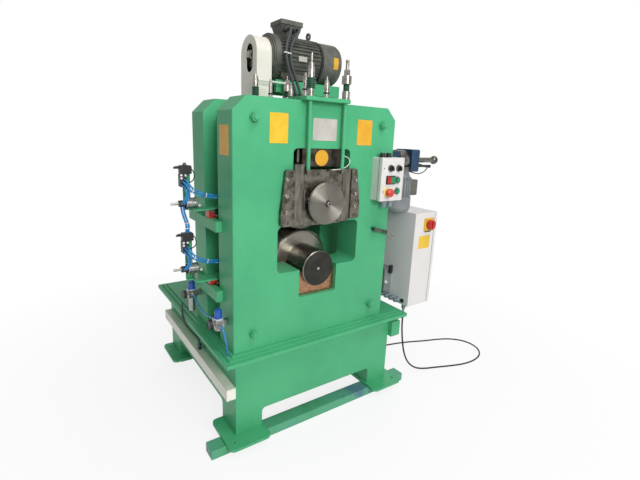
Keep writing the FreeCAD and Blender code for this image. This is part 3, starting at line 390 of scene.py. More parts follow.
air_tube_pu = moulded("blue_air_tube", "#1c76b6", "#3492d0", gloss=(0.14, 0.22))
tell("plastics")

# %% [markdown]
# ## Blank plates
#
# The machine's plates are bare here: coated aluminium in yellow, orange and silver, glued
# flat to the paint. They are smoother than the paint around them.

# %% Plate finishes
def plate_finish(name, dark, pale, **more):
    return finish(name, (dark, pale), patch_mm=60, grain_mm=0.6, bump=0.03, gloss=(0.28, 0.38),
                  edge_mm=0.3, **more)


yellow_plate = plate_finish("yellow_coated_plate", "#e3b62a", "#edc437", ior=1.5)
orange_plate = plate_finish("amber_coated_plate", "#e1a428", "#e9b238", ior=1.5)
silver_plate = plate_finish("brushed_silver_plate", "#c6c1ba", "#d6d1c9", metal=0.3)
tell("plates")

# %% [markdown]
# ## Turned steel
#
# The roll ends were turned on a lathe, so fine rings lie about the axis. Light from a lamp
# or window spreads across such rings and draws bright and dark sectors. The rings are noise
# along the distance from the axis, drawn coarser than real ones so that they show, and an
# anisotropic gloss along them makes the sectors. Large, weak clouds break both up a little.

# %% Turned finish
CLOUDS_A_METRE = 22.0
RING_CONTRAST = (0.38, 0.62)
RING_DEPTH, RING_BUMP = 0.0003, 0.25
TURNED_EDGE = 0.0012


def turned_finish(name, axis_at, colours, ring_mm, gloss, anisotropy):
    material, tree = new_material(name)
    place = add(tree, "TexCoord")
    centred = add(tree, "VectorMath", {"operation": "SUBTRACT"}, i0=place.outputs["Object"],
                  i1=axis_at)
    flat = add(tree, "VectorMath", {"operation": "MULTIPLY"}, i0=centred, i1=(1.0, 0.0, 1.0))
    reach = add(tree, "VectorMath", {"operation": "LENGTH"}, i0=flat)
    rings = add(tree, "TexNoise", {"noise_dimensions": "1D"}, W=reach.outputs["Value"],
                Scale=1000.0 / ring_mm, Detail=3.0)
    cloud = add(tree, "TexNoise", Vector=place.outputs["Object"], Scale=CLOUDS_A_METRE, Detail=5.0)
    both = add(tree, "Math", {"operation": "ADD"}, i0=rings, i1=cloud)
    mean = add(tree, "Math", {"operation": "MULTIPLY"}, i0=both, i1=0.5)
    ramp = add(tree, "ValToRGB", Fac=mean)
    spread_colours(ramp, colours, RING_CONTRAST)
    rough = add(tree, "MapRange", Value=cloud, From_Min=NOISE_RANGE[0],
                From_Max=NOISE_RANGE[1], To_Min=gloss[0], To_Max=gloss[1])
    edge = add(tree, "Bevel", {"samples": EDGE_SAMPLES}, Radius=TURNED_EDGE)
    relief = add(tree, "Bump", Height=rings, Distance=RING_DEPTH, Strength=RING_BUMP, Normal=edge)
    around = add(tree, "VectorMath", {"operation": "CROSS_PRODUCT"}, i0=flat, i1=(0.0, 1.0, 0.0))
    face = add(tree, "NewGeometry")
    across = add(tree, "VectorMath", {"operation": "CROSS_PRODUCT"}, i0=around,
                 i1=face.outputs["Normal"])
    skin = add(tree, "BsdfPrincipled", Base_Color=ramp, Roughness=rough, Metallic=1.0,
               Anisotropic=anisotropy, Normal=relief, Tangent=across)
    add(tree, "OutputMaterial", Surface=skin)
    return material


ROLL_X, UPPER_Z, LOWER_Z = 400, 597, 303
upper_turned = turned_finish("fine_turned_steel", at(ROLL_X, 0, UPPER_Z),
                             ("#7d7a72", "#9b978d"), 1.6, (0.4, 0.5), 0.95)
lower_turned = turned_finish("polished_turned_steel", at(ROLL_X, 0, LOWER_Z),
                             ("#87837a", "#a39e93"), 2.4, (0.22, 0.3), 0.8)
lower_end = turned_finish("dark_turned_end_face", at(ROLL_X, 0, LOWER_Z),
                          ("#343431", "#4b4a45"), 3.0, (0.45, 0.55), 0.4)
tell("turned")

# %% [markdown]
# A screwed rod repeats along its axis. A wave along that axis gives each turn its bump, and in
# the colour a painted highlight on its crest and painted shade in its root. At scale one a wave
# texture repeats every tenth of pi, so the scale follows from the real pitch.

# %% Finish for a screwed rod, with painted shade in its thread
WAVE_LENGTH = math.pi / 10.0
THREAD_CONTRAST = (0.15, 0.6)
THREAD_DEPTH, THREAD_BUMP = 0.0006, 0.5


# root is the painted shade in each turn's root, crest the painted highlight on its crest.
def screwed_finish(name, axis, pitch_mm, root, crest, roughness):
    material, tree = new_material(name)
    place = add(tree, "TexCoord")
    turns = add(tree, "TexWave", {"bands_direction": axis}, Vector=place.outputs["Object"],
                Scale=1000.0 * WAVE_LENGTH / pitch_mm, Distortion=0.0)
    ramp = add(tree, "ValToRGB", Fac=turns.outputs["Fac"])
    spread_colours(ramp, (root, crest), THREAD_CONTRAST)
    relief = add(tree, "Bump", Height=turns.outputs["Fac"], Distance=THREAD_DEPTH,
                 Strength=THREAD_BUMP)
    skin = add(tree, "BsdfPrincipled", Base_Color=ramp, Roughness=roughness, Metallic=1.0,
               Normal=relief)
    add(tree, "OutputMaterial", Surface=skin)
    return material


rod_steel = screwed_finish("screwed_rod_painted_thread_shade", "X", 7.0, "#4b4842", "#98958b", 0.3)
tell("screwed")

# %% [markdown]
# ## Dressing the construction model
#
# Most of its nodes are one finish. Where a node holds several pieces, each face takes its
# finish by where it lies in the drawing, and its mesh stays as it is. So one function takes a
# base finish and any number of pairs: a second finish, and a test that says which faces get it.

# %% Nodes of one finish
FINISH_OF = {
    green_enamel: "foot_plates base_frame table_top front_housing rear_housing spacer_tubes"
                  " tie_bolts gear_case motor_stand",
    beam_enamel: "skids",
    cream_enamel: "cable_trunking belt_guard",
    powder_coat: "control_box cabinet_door",
    gearmotor_enamel: "lever_box",
    spring_enamel: "balance_springs",
    bright_steel: "gib_screws cylinder_rod_upper cylinder_rod_lower motor_rotor input_pulley",
    oily_steel: "gib_plates upper_chocks",
    milled_steel: "window_liners",
    milled_bronze: "bearing_blocks",
    black_nylon: "solenoid_valves selector_left selector_right drive_belt black_lever",
    red_abs: "button_stop switch_knob",
    stop_red_abs: "estop_button",
    green_abs: "button_start push_upper push_lower",
    blue_abs: "regulator_knob_rear regulator_knob_front",
}
dressed = set()


def wear(node_name, base, *parts):
    """Gives a node its finish, and the faces that each test picks out a finish of their own."""
    mesh = nodes[node_name].data
    mesh.materials.clear()
    for surface in (base, *[surface for surface, _ in parts]):
        mesh.materials.append(surface)
    for face in mesh.polygons:
        place = face.center * 1000.0 + DATUM
        for i, (_, picks) in enumerate(parts):
            if picks(place):
                face.material_index = i + 1
    dressed.add(node_name)


for surface, names in FINISH_OF.items():
    for node_name in names.split():
        wear(node_name, surface)
print(len(dressed), "nodes wear one finish")

# %% [markdown]
# On the stand, the rods and studs are painted up to the crosshead and bright above it, with
# one dark rod end, one green washer and one black one. A steel guide stands beside the browned
# pressure block. The rolls show a dark turned end and a bright screw.

# %% Stand and rolls
MIRROR_Y = 430.0
ROD_PAINT_ENDS, PLATE_TOP, LAST_NUT = 1010, 1015.3, 1129.5
LEFT_GUIDE_ENDS = 297
LOWER_END_Y, DISC_Y = 0.5, -48.5


def near(place, x, y, reach):
    """True within reach of an upright axis, or of its twin on the rear housing."""
    return min(math.hypot(place.x - x, place.y - twin) for twin in (y, MIRROR_Y - y)) < reach


def washer(x, y, low, high, inner, outer):
    return lambda p: low < p.z < high and near(p, x, y, outer) and not near(p, x, y, inner)


wear("tie_rods", green_enamel, (bright_steel, lambda p: p.z > ROD_PAINT_ENDS),
     (oily_steel, lambda p: p.z > LAST_NUT and near(p, 486, -20, 8)))
wear("crossheads", green_enamel, (bright_steel, lambda p: p.z > PLATE_TOP),
     (spring_enamel, washer(454, 70, 1039.9, 1046.1, 10.5, 15)),
     (black_nylon, washer(346, 70, 1044.9, 1051.1, 9.2, 13)))
wear("pressure_blocks", browned_steel, (milled_steel, lambda p: p.x < LEFT_GUIDE_ENDS))
wear("lower_roll", lower_turned, (lower_end, lambda p: p.y < LOWER_END_Y))
wear("upper_roll", upper_turned, (bright_steel, lambda p: p.y < DISC_Y))
wear("blank_plates", yellow_plate, (silver_plate, lambda p: 340 < p.x < 470 and p.z > 840),
     (orange_plate, lambda p: p.x > 570 or p.x < 1 or p.y > 5))
print(len(dressed), "nodes with the stand's")

# %% [markdown]
# The motor has a black ring between body and fan cowl. The adjuster joins a blue box, a bare
# sleeve, two black sensors and a grey flange. The control box has bright bezels, a black
# button frame and a pale collar under its stop. The cabinet's left side is painted a shade
# pinker: painted light, a tint against the green light that the housing bounces onto it.

# %% Drive, adjuster and controls
THREAD_ENDS, SLEEVE_ENDS, PLUG_BODY_ENDS = 1080, 779, 954
CABINET_X = 970


def blind_plug(p):
    return p.y < 24 and 960 < p.x < 976 and p.z > 15


wear("motor", motor_enamel, (black_nylon, lambda p: 703 < p.x < 717))
wear("adjust_gearbox", blue_enamel, (milled_steel, lambda p: 880.5 < p.x < 939.5 and p.z > 719),
     (black_nylon, lambda p: p.x > 1000.5), (gearmotor_enamel, lambda p: p.z < 719 and p.x < 944))
wear("adjust_motor", gearmotor_enamel, (motor_enamel, lambda p: p.x > 986.5))
# The threaded part wears painted shade in its roots and a painted highlight on its crests.
wear("adjust_rod", dark_steel, (rod_steel, lambda p: p.x < THREAD_ENDS))
wear("control_trim", bright_steel, (black_nylon, lambda p: p.x < 761.1 and 668 < p.z < 708),
     (pale_yellow_abs, lambda p: p.x < 740 and p.z < 660), (yellow_plate, lambda p: p.x > 1000))
# The left side takes the pinker copy: painted light against the green bounce from the housing.
wear("cabinet_shell", powder_coat, (powder_coat_left_painted_light, lambda p: p.x < CABINET_X + 0.5))
wear("cable_glands", grey_nylon, (black_nylon, lambda p: p.z > 700 or blind_plug(p)))
wear("bent_handle", dark_steel, (bright_steel, lambda p: p.x > SLEEVE_ENDS))
wear("mains_plug", red_abs, (black_nylon, lambda p: p.x > PLUG_BODY_ENDS))
print(len(dressed), "nodes with the drive's and the controls'")

# %% [markdown]
# The air brackets carry red clamping blocks with a small stained fitting beside each. The
# cylinders are aluminium with a black head, and the regulators have a black gauge. What is
# still bare after this cell are the cords' nodes, which curves replace below.

# %% Air sets
def red_block(p):
    return (-24.5 < p.x < 20.5 and 179.5 < p.y < 222.5
            and (528.2 < p.z < 558.8 or 240.2 < p.z < 259.8))


def block_fitting(p):
    return -4.5 < p.x < 12.5 and 153.5 < p.y < 180.5 and (p.z > 527.9 or 239.9 < p.z < 257)


wear("air_brackets", green_enamel, (red_abs, red_block), (oily_steel, block_fitting))
wear("cylinder_bodies", cast_aluminium, (black_nylon, lambda p: p.x < -108.1),
     (white_nylon, lambda p: p.x > -63.9 and p.y > 205))
wear("regulators", cast_aluminium, (black_nylon, lambda p: p.x < -63.9))
print("still bare:", ", ".join(sorted(set(nodes) - dressed)))

# %% [markdown]
# ## Cables and tubes
#
# A cable is one smooth line with a round section. A NURBS curve of order three bends gently
# near its control points, as a sheath does, and a bevel gives it its thickness. The points
# are those of the drawing. Order and end mode are set after the points, or Blender keeps
# the curve straight between them.

# %% Flexible lines
BEND_ORDER = 3
STEPS_A_SPAN, ROUND_STEPS = 6, 4


def flexible(name, points, diameter, body="stand"):
    curve = bpy.data.curves.new(name, "CURVE")
    curve.dimensions = "3D"
    spline = curve.splines.new("NURBS")
    spline.points.add(len(points) - 1)
    for control, point in zip(spline.points, points):
        control.co = (*at(*point), 1.0)
    spline.order_u = BEND_ORDER
    spline.use_endpoint_u = True
    curve.resolution_u = STEPS_A_SPAN
    curve.bevel_depth = diameter / 2000.0
    curve.bevel_resolution = ROUND_STEPS
    curve.use_fill_caps = True
    line = bpy.data.objects.new(name, curve)
    bpy.context.scene.collection.objects.link(line)
    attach(line, body)
    made.append(name)
    return line


# %% [markdown]
# A cord's length is measured along the curve that Blender draws, not between the control
# points. Without its thickness the curve turns into a chain of short edges, which are summed.

# %% Length of a line
def length_of(line):
    thin = line.copy()
    thin.data = line.data.copy()
    thin.data.bevel_depth = 0.0
    mesh = bpy.data.meshes.new_from_object(thin)
    ends = [[mesh.vertices[i].co for i in edge.vertices] for edge in mesh.edges]
    total = sum((a - b).length for a, b in ends)
    bpy.data.objects.remove(thin)
    bpy.data.meshes.remove(mesh)
    return total


# %% [markdown]
# ## The mains lead
#
# The lead leaves its gland under the cabinet, hangs to the floor and wanders off to the
# right, out of the photograph. The rest comes back behind the machine and is put away in a
# tied coil: four layers of two turns, wound clockwise, so that its tail leaves on top
# towards the plug. The coil's turns are more points of the same curve. The last quarter of
# each turn crosses over to the next one, and the radius is a little larger than wanted,
# because the curve cuts the corners between its points.

# %% The lead's route and coil
LEAD_D = 9.0
LEAD_LIES = FLOOR + LEAD_D / 2 + 0.1
LEAD_EXIT = (985, 12, -40)
HANGING = [LEAD_EXIT, (985, 12, -110), (998, 10, -205), (1018, 8, -290), (1056, 6, -362),
           (1118, 2, -414), (1196, -4, -440)]
COIL_AT = (1064.0, 395.0)
COIL_FRONT = 337.6
LYING = [(1282, -26), (1370, -62), (1464, -92), (1562, -98), (1654, -72), (1716, -2), (1716, 92),
         (1650, 166), (1560, 206), (1466, 236), (1374, 276), (1280, 306), (1190, 326),
         (1130, COIL_FRONT)]
TURN_STEP = 9.2
TURN_RADII = (57.35, 48.15)
POINTS_A_TURN = 14
LAYERS = 4
CROSSES_FROM = 0.75

route = HANGING + [(x, y, LEAD_LIES) for x, y in LYING]
chord_gain = 1.0 / math.cos(math.pi / POINTS_A_TURN)
for i in range(1, LAYERS * 2 * POINTS_A_TURN + 1):
    turns = (i - 0.5) / POINTS_A_TURN
    whole = int(turns)
    blend = max(0.0, (turns - whole - CROSSES_FROM) / (1.0 - CROSSES_FROM))
    radii = [TURN_RADII[(t + 1) // 2 % 2] for t in (whole, whole + 1)]
    heights = [min(LAYERS - 1, t // 2) * TURN_STEP for t in (whole, whole + 1)]
    radius = (radii[0] + (radii[1] - radii[0]) * blend) * chord_gain
    angle = math.radians(-90.0 - 360.0 * turns)
    route.append((COIL_AT[0] + radius * math.cos(angle), COIL_AT[1] + radius * math.sin(angle),
                  LEAD_LIES + heights[0] + (heights[1] - heights[0]) * blend))
route += [(1050, COIL_FRONT, LEAD_LIES + (LAYERS - 1) * TURN_STEP),
          (1034, COIL_FRONT, FLOOR + 30.5), (1010, COIL_FRONT, FLOOR + 29.2)]
lead = flexible("mains_lead", route, LEAD_D)
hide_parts("mains_cable", "cable_coil")
lead.data.materials.append(cable_pvc)
print("mains lead", round(length_of(lead), 3), "m with", len(route), "points")

# %% [markdown]
# ## Making pieces
#
# Each further piece is built as mesh work in the drawing's millimetres. One function turns
# it into an object on the body that it rides with, gives it its finish and the slot of its
# colour, and rounds its edges where they would catch the light.

# %% Helper for pieces
SHARP = math.radians(35.0)
ROUNDING_STEPS = 2


def piece(name, bm, surface, body="stand", bevel_mm=0.0):
    bmesh.ops.recalc_face_normals(bm, faces=bm.faces)
    mesh = bpy.data.meshes.new(name)
    for vertex in bm.verts:
        vertex.co = at(*vertex.co)
    bm.to_mesh(mesh)
    bm.free()
    for face in mesh.polygons:
        face.use_smooth = True
    mesh.set_sharp_from_angle(angle=SHARP)
    mesh.materials.append(surface)
    thing = bpy.data.objects.new(name, mesh)
    bpy.context.scene.collection.objects.link(thing)
    if bevel_mm:
        edge = thing.modifiers.new("soft_edges", "BEVEL")
        edge.width, edge.segments = bevel_mm / 1000.0, ROUNDING_STEPS
        edge.limit_method, edge.angle_limit = "ANGLE", SHARP
        edge.harden_normals = True
    if body:
        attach(thing, body)
    made.append(name)
    return thing


# %% [markdown]
# Two forms make nearly all of them: a profile spun around an axis, as on a lathe, and a
# plain block. A profile lists pairs of radius and height. Where it starts or ends off the
# axis, that end is closed with a flat face.

# %% Turned forms and blocks
ON_AXIS = 0.01


def turned(bm, profile, origin, axis, sides=32):
    """Spins a profile of (radius, height) pairs about an axis."""
    along = Vector(axis).normalized()
    across = along.orthogonal().normalized()
    upright = along.cross(across)
    rings = []
    for radius, height in profile:
        middle = Vector(origin) + along * height
        if radius < ON_AXIS:
            rings.append([bm.verts.new(middle)])
            continue
        angles = (2 * math.pi * i / sides for i in range(sides))
        rings.append([bm.verts.new(middle + (across * math.cos(a) + upright * math.sin(a)) * radius)
                      for a in angles])
    for low, high in zip(rings, rings[1:]):
        for i in range(sides):
            j = i + 1
            corners = [low[i % len(low)], low[j % len(low)], high[j % len(high)],
                       high[i % len(high)]]
            corners = list(dict.fromkeys(corners))
            if len(corners) > 2:
                bm.faces.new(corners)
    for ring in (rings[0], rings[-1]):
        if len(ring) > 1:
            bm.faces.new(ring)
    return bm


def spun(name, profile, origin, axis, surface, body="stand", sides=32, bevel_mm=0.0):
    """A piece of one turned form."""
    bm = turned(bmesh.new(), profile, origin, axis, sides)
    return piece(name, bm, surface, body, bevel_mm)


def block(bm, x, y, z):
    """A box between three pairs of limits."""
    corners = [bm.verts.new((a, b, c)) for c in z for b in y for a in x]
    for face in ((0, 1, 3, 2), (4, 6, 7, 5), (0, 4, 5, 1), (2, 3, 7, 6), (0, 2, 6, 4),
                 (1, 5, 7, 3)):
        bm.faces.new([corners[i] for i in face])
    return bm


def slab(name, x, y, z, surface, body="stand", bevel_mm=0.4):
    """A piece of one block."""
    return piece(name, block(bmesh.new(), x, y, z), surface, body, bevel_mm)


# %% [markdown]
# ## The lead's fittings
#
# Where the lead leaves the cabinet, a gland holds it and a tapered sleeve keeps it from
# kinking. The coil is held by a strap, a flat band around all its turns: a rounded
# rectangle, drawn four times, inside and outside, at both edges of the band. A strap around
# an upright bundle has no up of its own, so it takes the way to the back instead.

# %% Strap
CORNER_STEPS = 8
NEARLY_UPRIGHT = 0.2


def strap(bm, centre, along, wide, tall, band, thickness):
    """A flat band around a bundle, wide by tall, across the run of it."""
    along = Vector(along).normalized()
    up = Vector(UP) - along * along.z
    if up.length < NEARLY_UPRIGHT:
        up = Vector((0, 1, 0)) - along * along.y
    up.normalize()
    side = along.cross(up)
    radius = min(wide, tall) / 2.0
    loops = []
    half = band / 2
    for shift, grow in ((-half, 0), (half, 0), (half, thickness), (-half, thickness)):
        loop = []
        for quarter, (sx, sy) in enumerate(((1, 1), (-1, 1), (-1, -1), (1, -1))):
            for i in range(CORNER_STEPS + 1):
                a = math.pi / 2 * (quarter + i / CORNER_STEPS)
                x = sx * (wide / 2 - radius) + math.cos(a) * (radius + grow)
                y = sy * (tall / 2 - radius) + math.sin(a) * (radius + grow)
                loop.append(bm.verts.new(Vector(centre) + side * x + up * y + along * shift))
        loops.append(loop)
    for one, other in zip(loops, loops[1:] + loops[:1]):
        for i in range(len(one)):
            j = (i + 1) % len(one)
            bm.faces.new((one[i], one[j], other[j], other[i]))
    return bm


# %% [markdown]
# The lead's sleeve and tie belong to it, as its plug does. Its length is measured once they
# are there.

# %% Sleeve and tie of the lead
relief = spun("lead_relief", [(4.7, -35), (5.6, -35), (7.2, -15), (8.6, -11), (10.5, -9),
              (10.5, -1), (4.7, -1)], LEAD_EXIT, UP, black_nylon, bevel_mm=0.5)
coil_side = (COIL_AT[0] + 52.7, COIL_AT[1], FLOOR + 18.4)
coil_tie = piece("coil_tie", strap(bmesh.new(), coil_side, (0, 1, 0), 19.5, 37.0, 8, 0.9),
                 black_nylon)
lead_length = length_of(lead)
tell("the lead")

# %% [markdown]
# ## Motor cables
#
# Two rubber cables leave the motor's terminal box and drop side by side behind the
# crossheads to a duct. They are held only at both ends, so they lean and bow a little. A
# white tie holds them together where they cross the motor's fins. Both follow the same
# drop behind the crossheads and lean to the side by amounts of their own.

# %% Two motor cables
CABLE_D = 14.0
CABLE_Z, CABLE_Y = 1376, 450
CABLE_DROP = ((-1, -37), (-5, -80), (-6, -136), (-7, -198), (-4, -260), (0, -324), (2, -386),
              (0, -446))
CABLE_RUNS = ((514, 614, (-20, -38, -42, -24, 2, 30, 62, 90)),
              (562, 636, (-28, -58, -68, -48, -18, 12, 42, 66)))


def freed(name, points, diameter, surface, replaced=(), body="stand"):
    """A flexible line from one piece to another, in its finish."""
    line = flexible(name, points, diameter, body)
    line.data.materials.append(surface)
    if replaced:
        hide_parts(*replaced)
    length_of(line)


for number, (x, riser_x, leans) in enumerate(CABLE_RUNS):
    points = [(x, 500, CABLE_Z), (x, 479, CABLE_Z), (x - 6, 460, CABLE_Z - 12)]
    points += [(x + dx, CABLE_Y + dy, CABLE_Z + dz) for dx, (dy, dz) in zip(leans, CABLE_DROP)]
    points += [(riser_x, CABLE_Y, 884), (riser_x, CABLE_Y, 850)]
    freed("motor_cable_%d" % number, points, CABLE_D, motor_cable_pvc,
          replaced=["motor_cables"])
piece("motor_cable_tie", strap(bmesh.new(), (482, 444, 1252), (0.1, 0, 1), 40, 15.4, 5, 1.3),
      white_nylon)
tell("behind the crossheads")

# %% [markdown]
# ## Air tubes
#
# Blue polyurethane tube, 8 mm thick, joins valves, cylinders and regulators. It springs back
# from tight bends, so it runs in long curves, and the fitter tied it in pairs. Each set has
# the same four tubes: one pair to the front housing and one to its cylinder, the second tube
# of a pair a little beside the first. One more pair links the two sets, and a single tube
# leaves each regulator.

# %% Air tubes
TUBE_D = 8.0
SET_Z = (560.0, 289.0)
PAIR_GAP = 9.5

tube_runs = []
for set_z in SET_Z:
    valve = set_z + 108.0
    run = [(-106, 216, valve + 14), (-106, 196, valve + 14), (-100, 178, valve - 2),
           (-86, 172, valve - 21), (-50, 170, valve - 38), (-19, 172, valve - 44),
           (7, 172, valve - 47), (28, 160, valve - 48), (28, 140, valve - 48)]
    branch = [(-117, 216, valve - 8), (-117, 200, valve - 8), (-111, 188, valve - 18),
              (-108, 184, valve - 36), (-112, 184, valve - 54), (-122, 188, valve - 70),
              (-124, 202.5, valve - 80)]
    for points, shift in ((run, (-7, 0, -9)), (branch, (PAIR_GAP, 0, -1))):
        tube_runs.append(points)
        tube_runs.append([tuple(a + b for a, b in zip(point, shift)) for point in points])
low = SET_Z[1] + 176.0
link = [(-123, 215, SET_Z[0] + 15.5), (-123, 214, SET_Z[0]), (-118, 211, SET_Z[0] - 22),
        (-109, 211, SET_Z[0] - 50), (-104, 216, low + 26), (-104, 224, low + 12), (-104, 224, low)]
tube_runs += [[(x + dx, y, z) for x, y, z in link] for dx in (0, PAIR_GAP)]
tube_runs.append([(-42, 349, 142), (-42, 328, 138), (-43, 297, 120), (-43, 233, 107),
                  (-42, 160, 112), (-39, 114, 122), (-38, 88, 123)])
tube_runs.append([(-38, 36, 123), (-38, 24, 120), (-36, 12, 104), (-30, 9, 70), (-21, 12, 30),
                  (-21, 14, -7)])
for number, points in enumerate(tube_runs):
    freed("air_tube_%02d" % number, points, TUBE_D, air_tube_pu,
          replaced=["air_tubes"])
tell("%d tubes" % len(tube_runs))

# %% [markdown]
# ## Control box
#
# The box is a moulded enclosure in two parts. Its lid is a little larger than the body and
# meets it on a soft gasket, which shows as a thin dark line all round. A flat frame makes
# both, and low round heads make the screws here and on the rest of the machine.

# %% Helpers for rims and screws
def rim(bm, x, y, z, width):
    """A flat frame that faces the front, as wide as told on each side."""
    loops = []
    for inset, depth in ((0, y[0]), (0, y[1]), (width, y[1]), (width, y[0])):
        corners = ((x[0] + inset, z[0] + inset), (x[1] - inset, z[0] + inset),
                   (x[1] - inset, z[1] - inset), (x[0] + inset, z[1] - inset))
        loops.append([bm.verts.new((across, depth, up)) for across, up in corners])
    for one, other in zip(loops, loops[1:] + loops[:1]):
        for i in range(4):
            j = (i + 1) % 4
            bm.faces.new((one[i], one[j], other[j], other[i]))
    return bm


def screw_heads(name, places, axis, radius, height, surface, body="stand"):
    """Low round heads with a soft rim, all along one axis."""
    bm = bmesh.new()
    profile = [(radius, 0), (radius, height * 0.6), (radius * 0.8, height), (0, height)]
    for place in places:
        turned(bm, profile, place, axis, sides=20)
    return piece(name, bm, surface, body)


# %% [markdown]
# Four corner screws hold the lid, and two more show their heads beside the buttons, one of
# them green.

# %% Lid, gasket and screws of the control box
LID_Y, SEAM_Y = -64, -45.0
piece("control_lid_rim", rim(bmesh.new(), (674.8, 813.2), (-64.6, SEAM_Y), (592.8, 787.2), 4.5),
      powder_coat, bevel_mm=1.6)
piece("control_gasket", rim(bmesh.new(), (675.5, 812.5), (SEAM_Y, -43.2), (593.5, 786.5), 3.0),
      black_nylon)
screw_heads("lid_screw_upper", [(690, LID_Y, 740)], TO_FRONT, 2.6, 1.4, black_nylon)
screw_heads("lid_screw_lower", [(692, LID_Y, 636)], TO_FRONT, 2.6, 1.4, green_abs)
screw_heads("corner_screws", [(x, LID_Y, z) for z in (602, 778) for x in (684, 804)], TO_FRONT,
            3.0, 0.8, powder_coat)
tell("control box")

# %% [markdown]
# The selectors carry a pale pointer line, and the emergency stop a shallow ring on its cap.
# Each rides with its own knob, so it turns or presses with it.

# %% Pointers and ring on the knobs
for body, x in (("selector_left", 729), ("selector_right", 778)):
    slab(body + "_pointer", (x - 1.1, x + 1.1), (-86.5, -85.8), (744, 749.5), white_nylon,
         body, bevel_mm=0.2)
spun("estop_cap_ring", [(9.6, 0), (12.4, 0), (12.0, 0.9), (10.0, 0.9)], (716, -98, 633), TO_FRONT,
     stop_red_abs, "estop_button")
tell("knobs")

# %% [markdown]
# Under each round bezel lies a black ring, which draws a dark line between the bright ring and
# the pale lid: painted shade for the bezel's shaded side.

# %% Black rings under the bezels, painted shade
bm = bmesh.new()
for x, z in ((729, 740), (778, 740), (776, 687), (778, 637)):
    turned(bm, [(13.5, 0), (16.4, 0), (16.2, 1.2), (13.5, 1.2)], (x, LID_Y, z), TO_FRONT)
piece("bezel_painted_shade_rings", bm, black_nylon)
tell("under the bezels")

# %% [markdown]
# ## Bent handle
#
# The handle's first stretch carries a dark moulded sleeve. The sleeve ends in a small collar,
# where the thinner bright end of the rod comes out.

# %% Sleeve of the bent handle
spun("handle_sleeve", [(5.5, 0), (8.2, 1.5), (8.6, 30), (8.0, 58), (9.2, 60), (9.2, 66), (5.5, 67)],
     (709, -20, 452.3), (75, 0, -21), dark_steel, "bent_handle", sides=24)
tell("bent handle")

# %% [markdown]
# ## Electrical cabinet
#
# A pressed steel cabinet: its front carries a plain yellow plate, a dark strip under the
# main switch, and on the right the soft seal of its side door. The switch knob has a grip
# bar across its round base.

# %% Cabinet front
CABINET_Y = -27
slab("cabinet_blank_plate", (1008, 1090), (-27.9, CABINET_Y), (321, 388), yellow_plate,
     bevel_mm=0.3)
slab("switch_strip", (1046, 1092), (-28.6, CABINET_Y), (406.5, 414.5), black_nylon)
slab("door_seal", (1114.2, 1116.4), (-27.5, -24), (12, 504), black_nylon,
     bevel_mm=0.3)
spun("switch_face", [(24.6, 0), (24.6, 1.2), (22.0, 2.2), (0, 2.2)], (1068, -56, 448), TO_FRONT,
     red_abs, "switch_knob", sides=40)
slab("switch_grip", (1063, 1073), (-64, -57.5), (427, 469), red_abs,
     "switch_knob", bevel_mm=2.0)
screw_heads("switch_screws", [(x, -35, z) for x in (1041, 1094) for z in (421, 475)], TO_FRONT,
            3.2, 1.0, bright_steel)
tell("cabinet")

# %% [markdown]
# Beside the cabinet sits the lever box. Its front has a pale cap low down on its left and
# a screw in each of the other corners.

# %% Lever box
BOX_Y = 104
spun("lever_box_cap", [(9, 0), (9, 3), (6.5, 7), (0, 8)], (927, BOX_Y, 113), TO_FRONT,
     white_nylon, sides=24)
screw_heads("lever_box_screws", [(925, BOX_Y, 182), (963, BOX_Y, 182), (963, BOX_Y, 69)],
            TO_FRONT, 3.0, 1.2, bright_steel)
tell("lever box")

# %% [markdown]
# ## Rolls and chocks
#
# The lower roll's end has a centre hole for the lathe, with a bright rim; the hole itself is a
# flat black disc, painted shade. The upper roll's disc is held by a hexagon screw inside a bright
# ring; its socket and the recess around its head are flat black pieces, painted shade.

# %% Centres of the rolls
LOWER_END = (ROLL_X, 0, LOWER_Z)
spun("centre_hole_rim", [(4.2, 0), (7.0, 0), (6.4, 0.5), (4.6, 0.5)], LOWER_END, TO_FRONT,
     bright_steel, "lower_roll", sides=28)
# A flat black disc in the hole: painted shade, not a cut.
spun("centre_hole", [(4.2, 0), (4.2, 0.15), (0, 0.15)], LOWER_END, TO_FRONT, black_nylon,
     "lower_roll", sides=24)
tell("lower roll")

# %% [markdown]
# Beside the disc two small screws hold the chock's cover, and a bigger plug closes its
# grease way.

# %% Screws of disc and chock
CHOCK_Y = -15
screw_heads("chock_screws", [(327, CHOCK_Y, 616), (327, CHOCK_Y, 600)], TO_FRONT, 5.0, 3.2,
            bright_steel, "carriage")
spun("disc_screw_rim", [(9.2, 0), (9.2, 1.2), (8.2, 2.2), (5.0, 2.2), (5.0, 0)],
     (ROLL_X, -58, UPPER_Z), TO_FRONT, bright_steel, "upper_roll")
# Flat black pieces for the screw's socket and the recess around its head: painted shade.
bm = turned(bmesh.new(), [(5.1, 0), (5.1, 0.5), (0, 0.5)], (ROLL_X, -58, UPPER_Z), TO_FRONT,
            sides=24)
turned(bm, [(10.0, 0), (14.0, 0), (13.4, 1.4), (10.0, 1.4)], (ROLL_X, -48, UPPER_Z), TO_FRONT)
piece("disc_screw_painted_recess_shade", bm, black_nylon, "upper_roll")
screw_heads("chock_plug", [(357, CHOCK_Y, 672)], TO_FRONT, 6.0, 3.0, oily_steel,
            "carriage")
tell("disc and chock")

# %% [markdown]
# A thin pale grease pipe curls from an elbow on the chock's top towards the right-hand
# liner. It rides with the chock, and its upper end stays close to the liner over the few
# millimetres of travel.

# %% Grease pipe
PIPE = [(430, -19, 733), (455, -20, 734), (482, -21, 736), (512, -21, 746), (528, -20, 764),
        (524, -19, 779), (508, -17, 788), (498, -10, 790)]
freed("grease_pipe", PIPE, 3.2, white_nylon, body="carriage")
bm = turned(bmesh.new(), [(4, 0), (4, 8), (2.5, 11), (0, 11)], (421, -19, 733), TO_RIGHT, sides=16)
block(bm, (414, 424), (-24, -15), (729, 737))
piece("grease_elbow", bm, oily_steel, "carriage", bevel_mm=0.4)
tell("grease way")
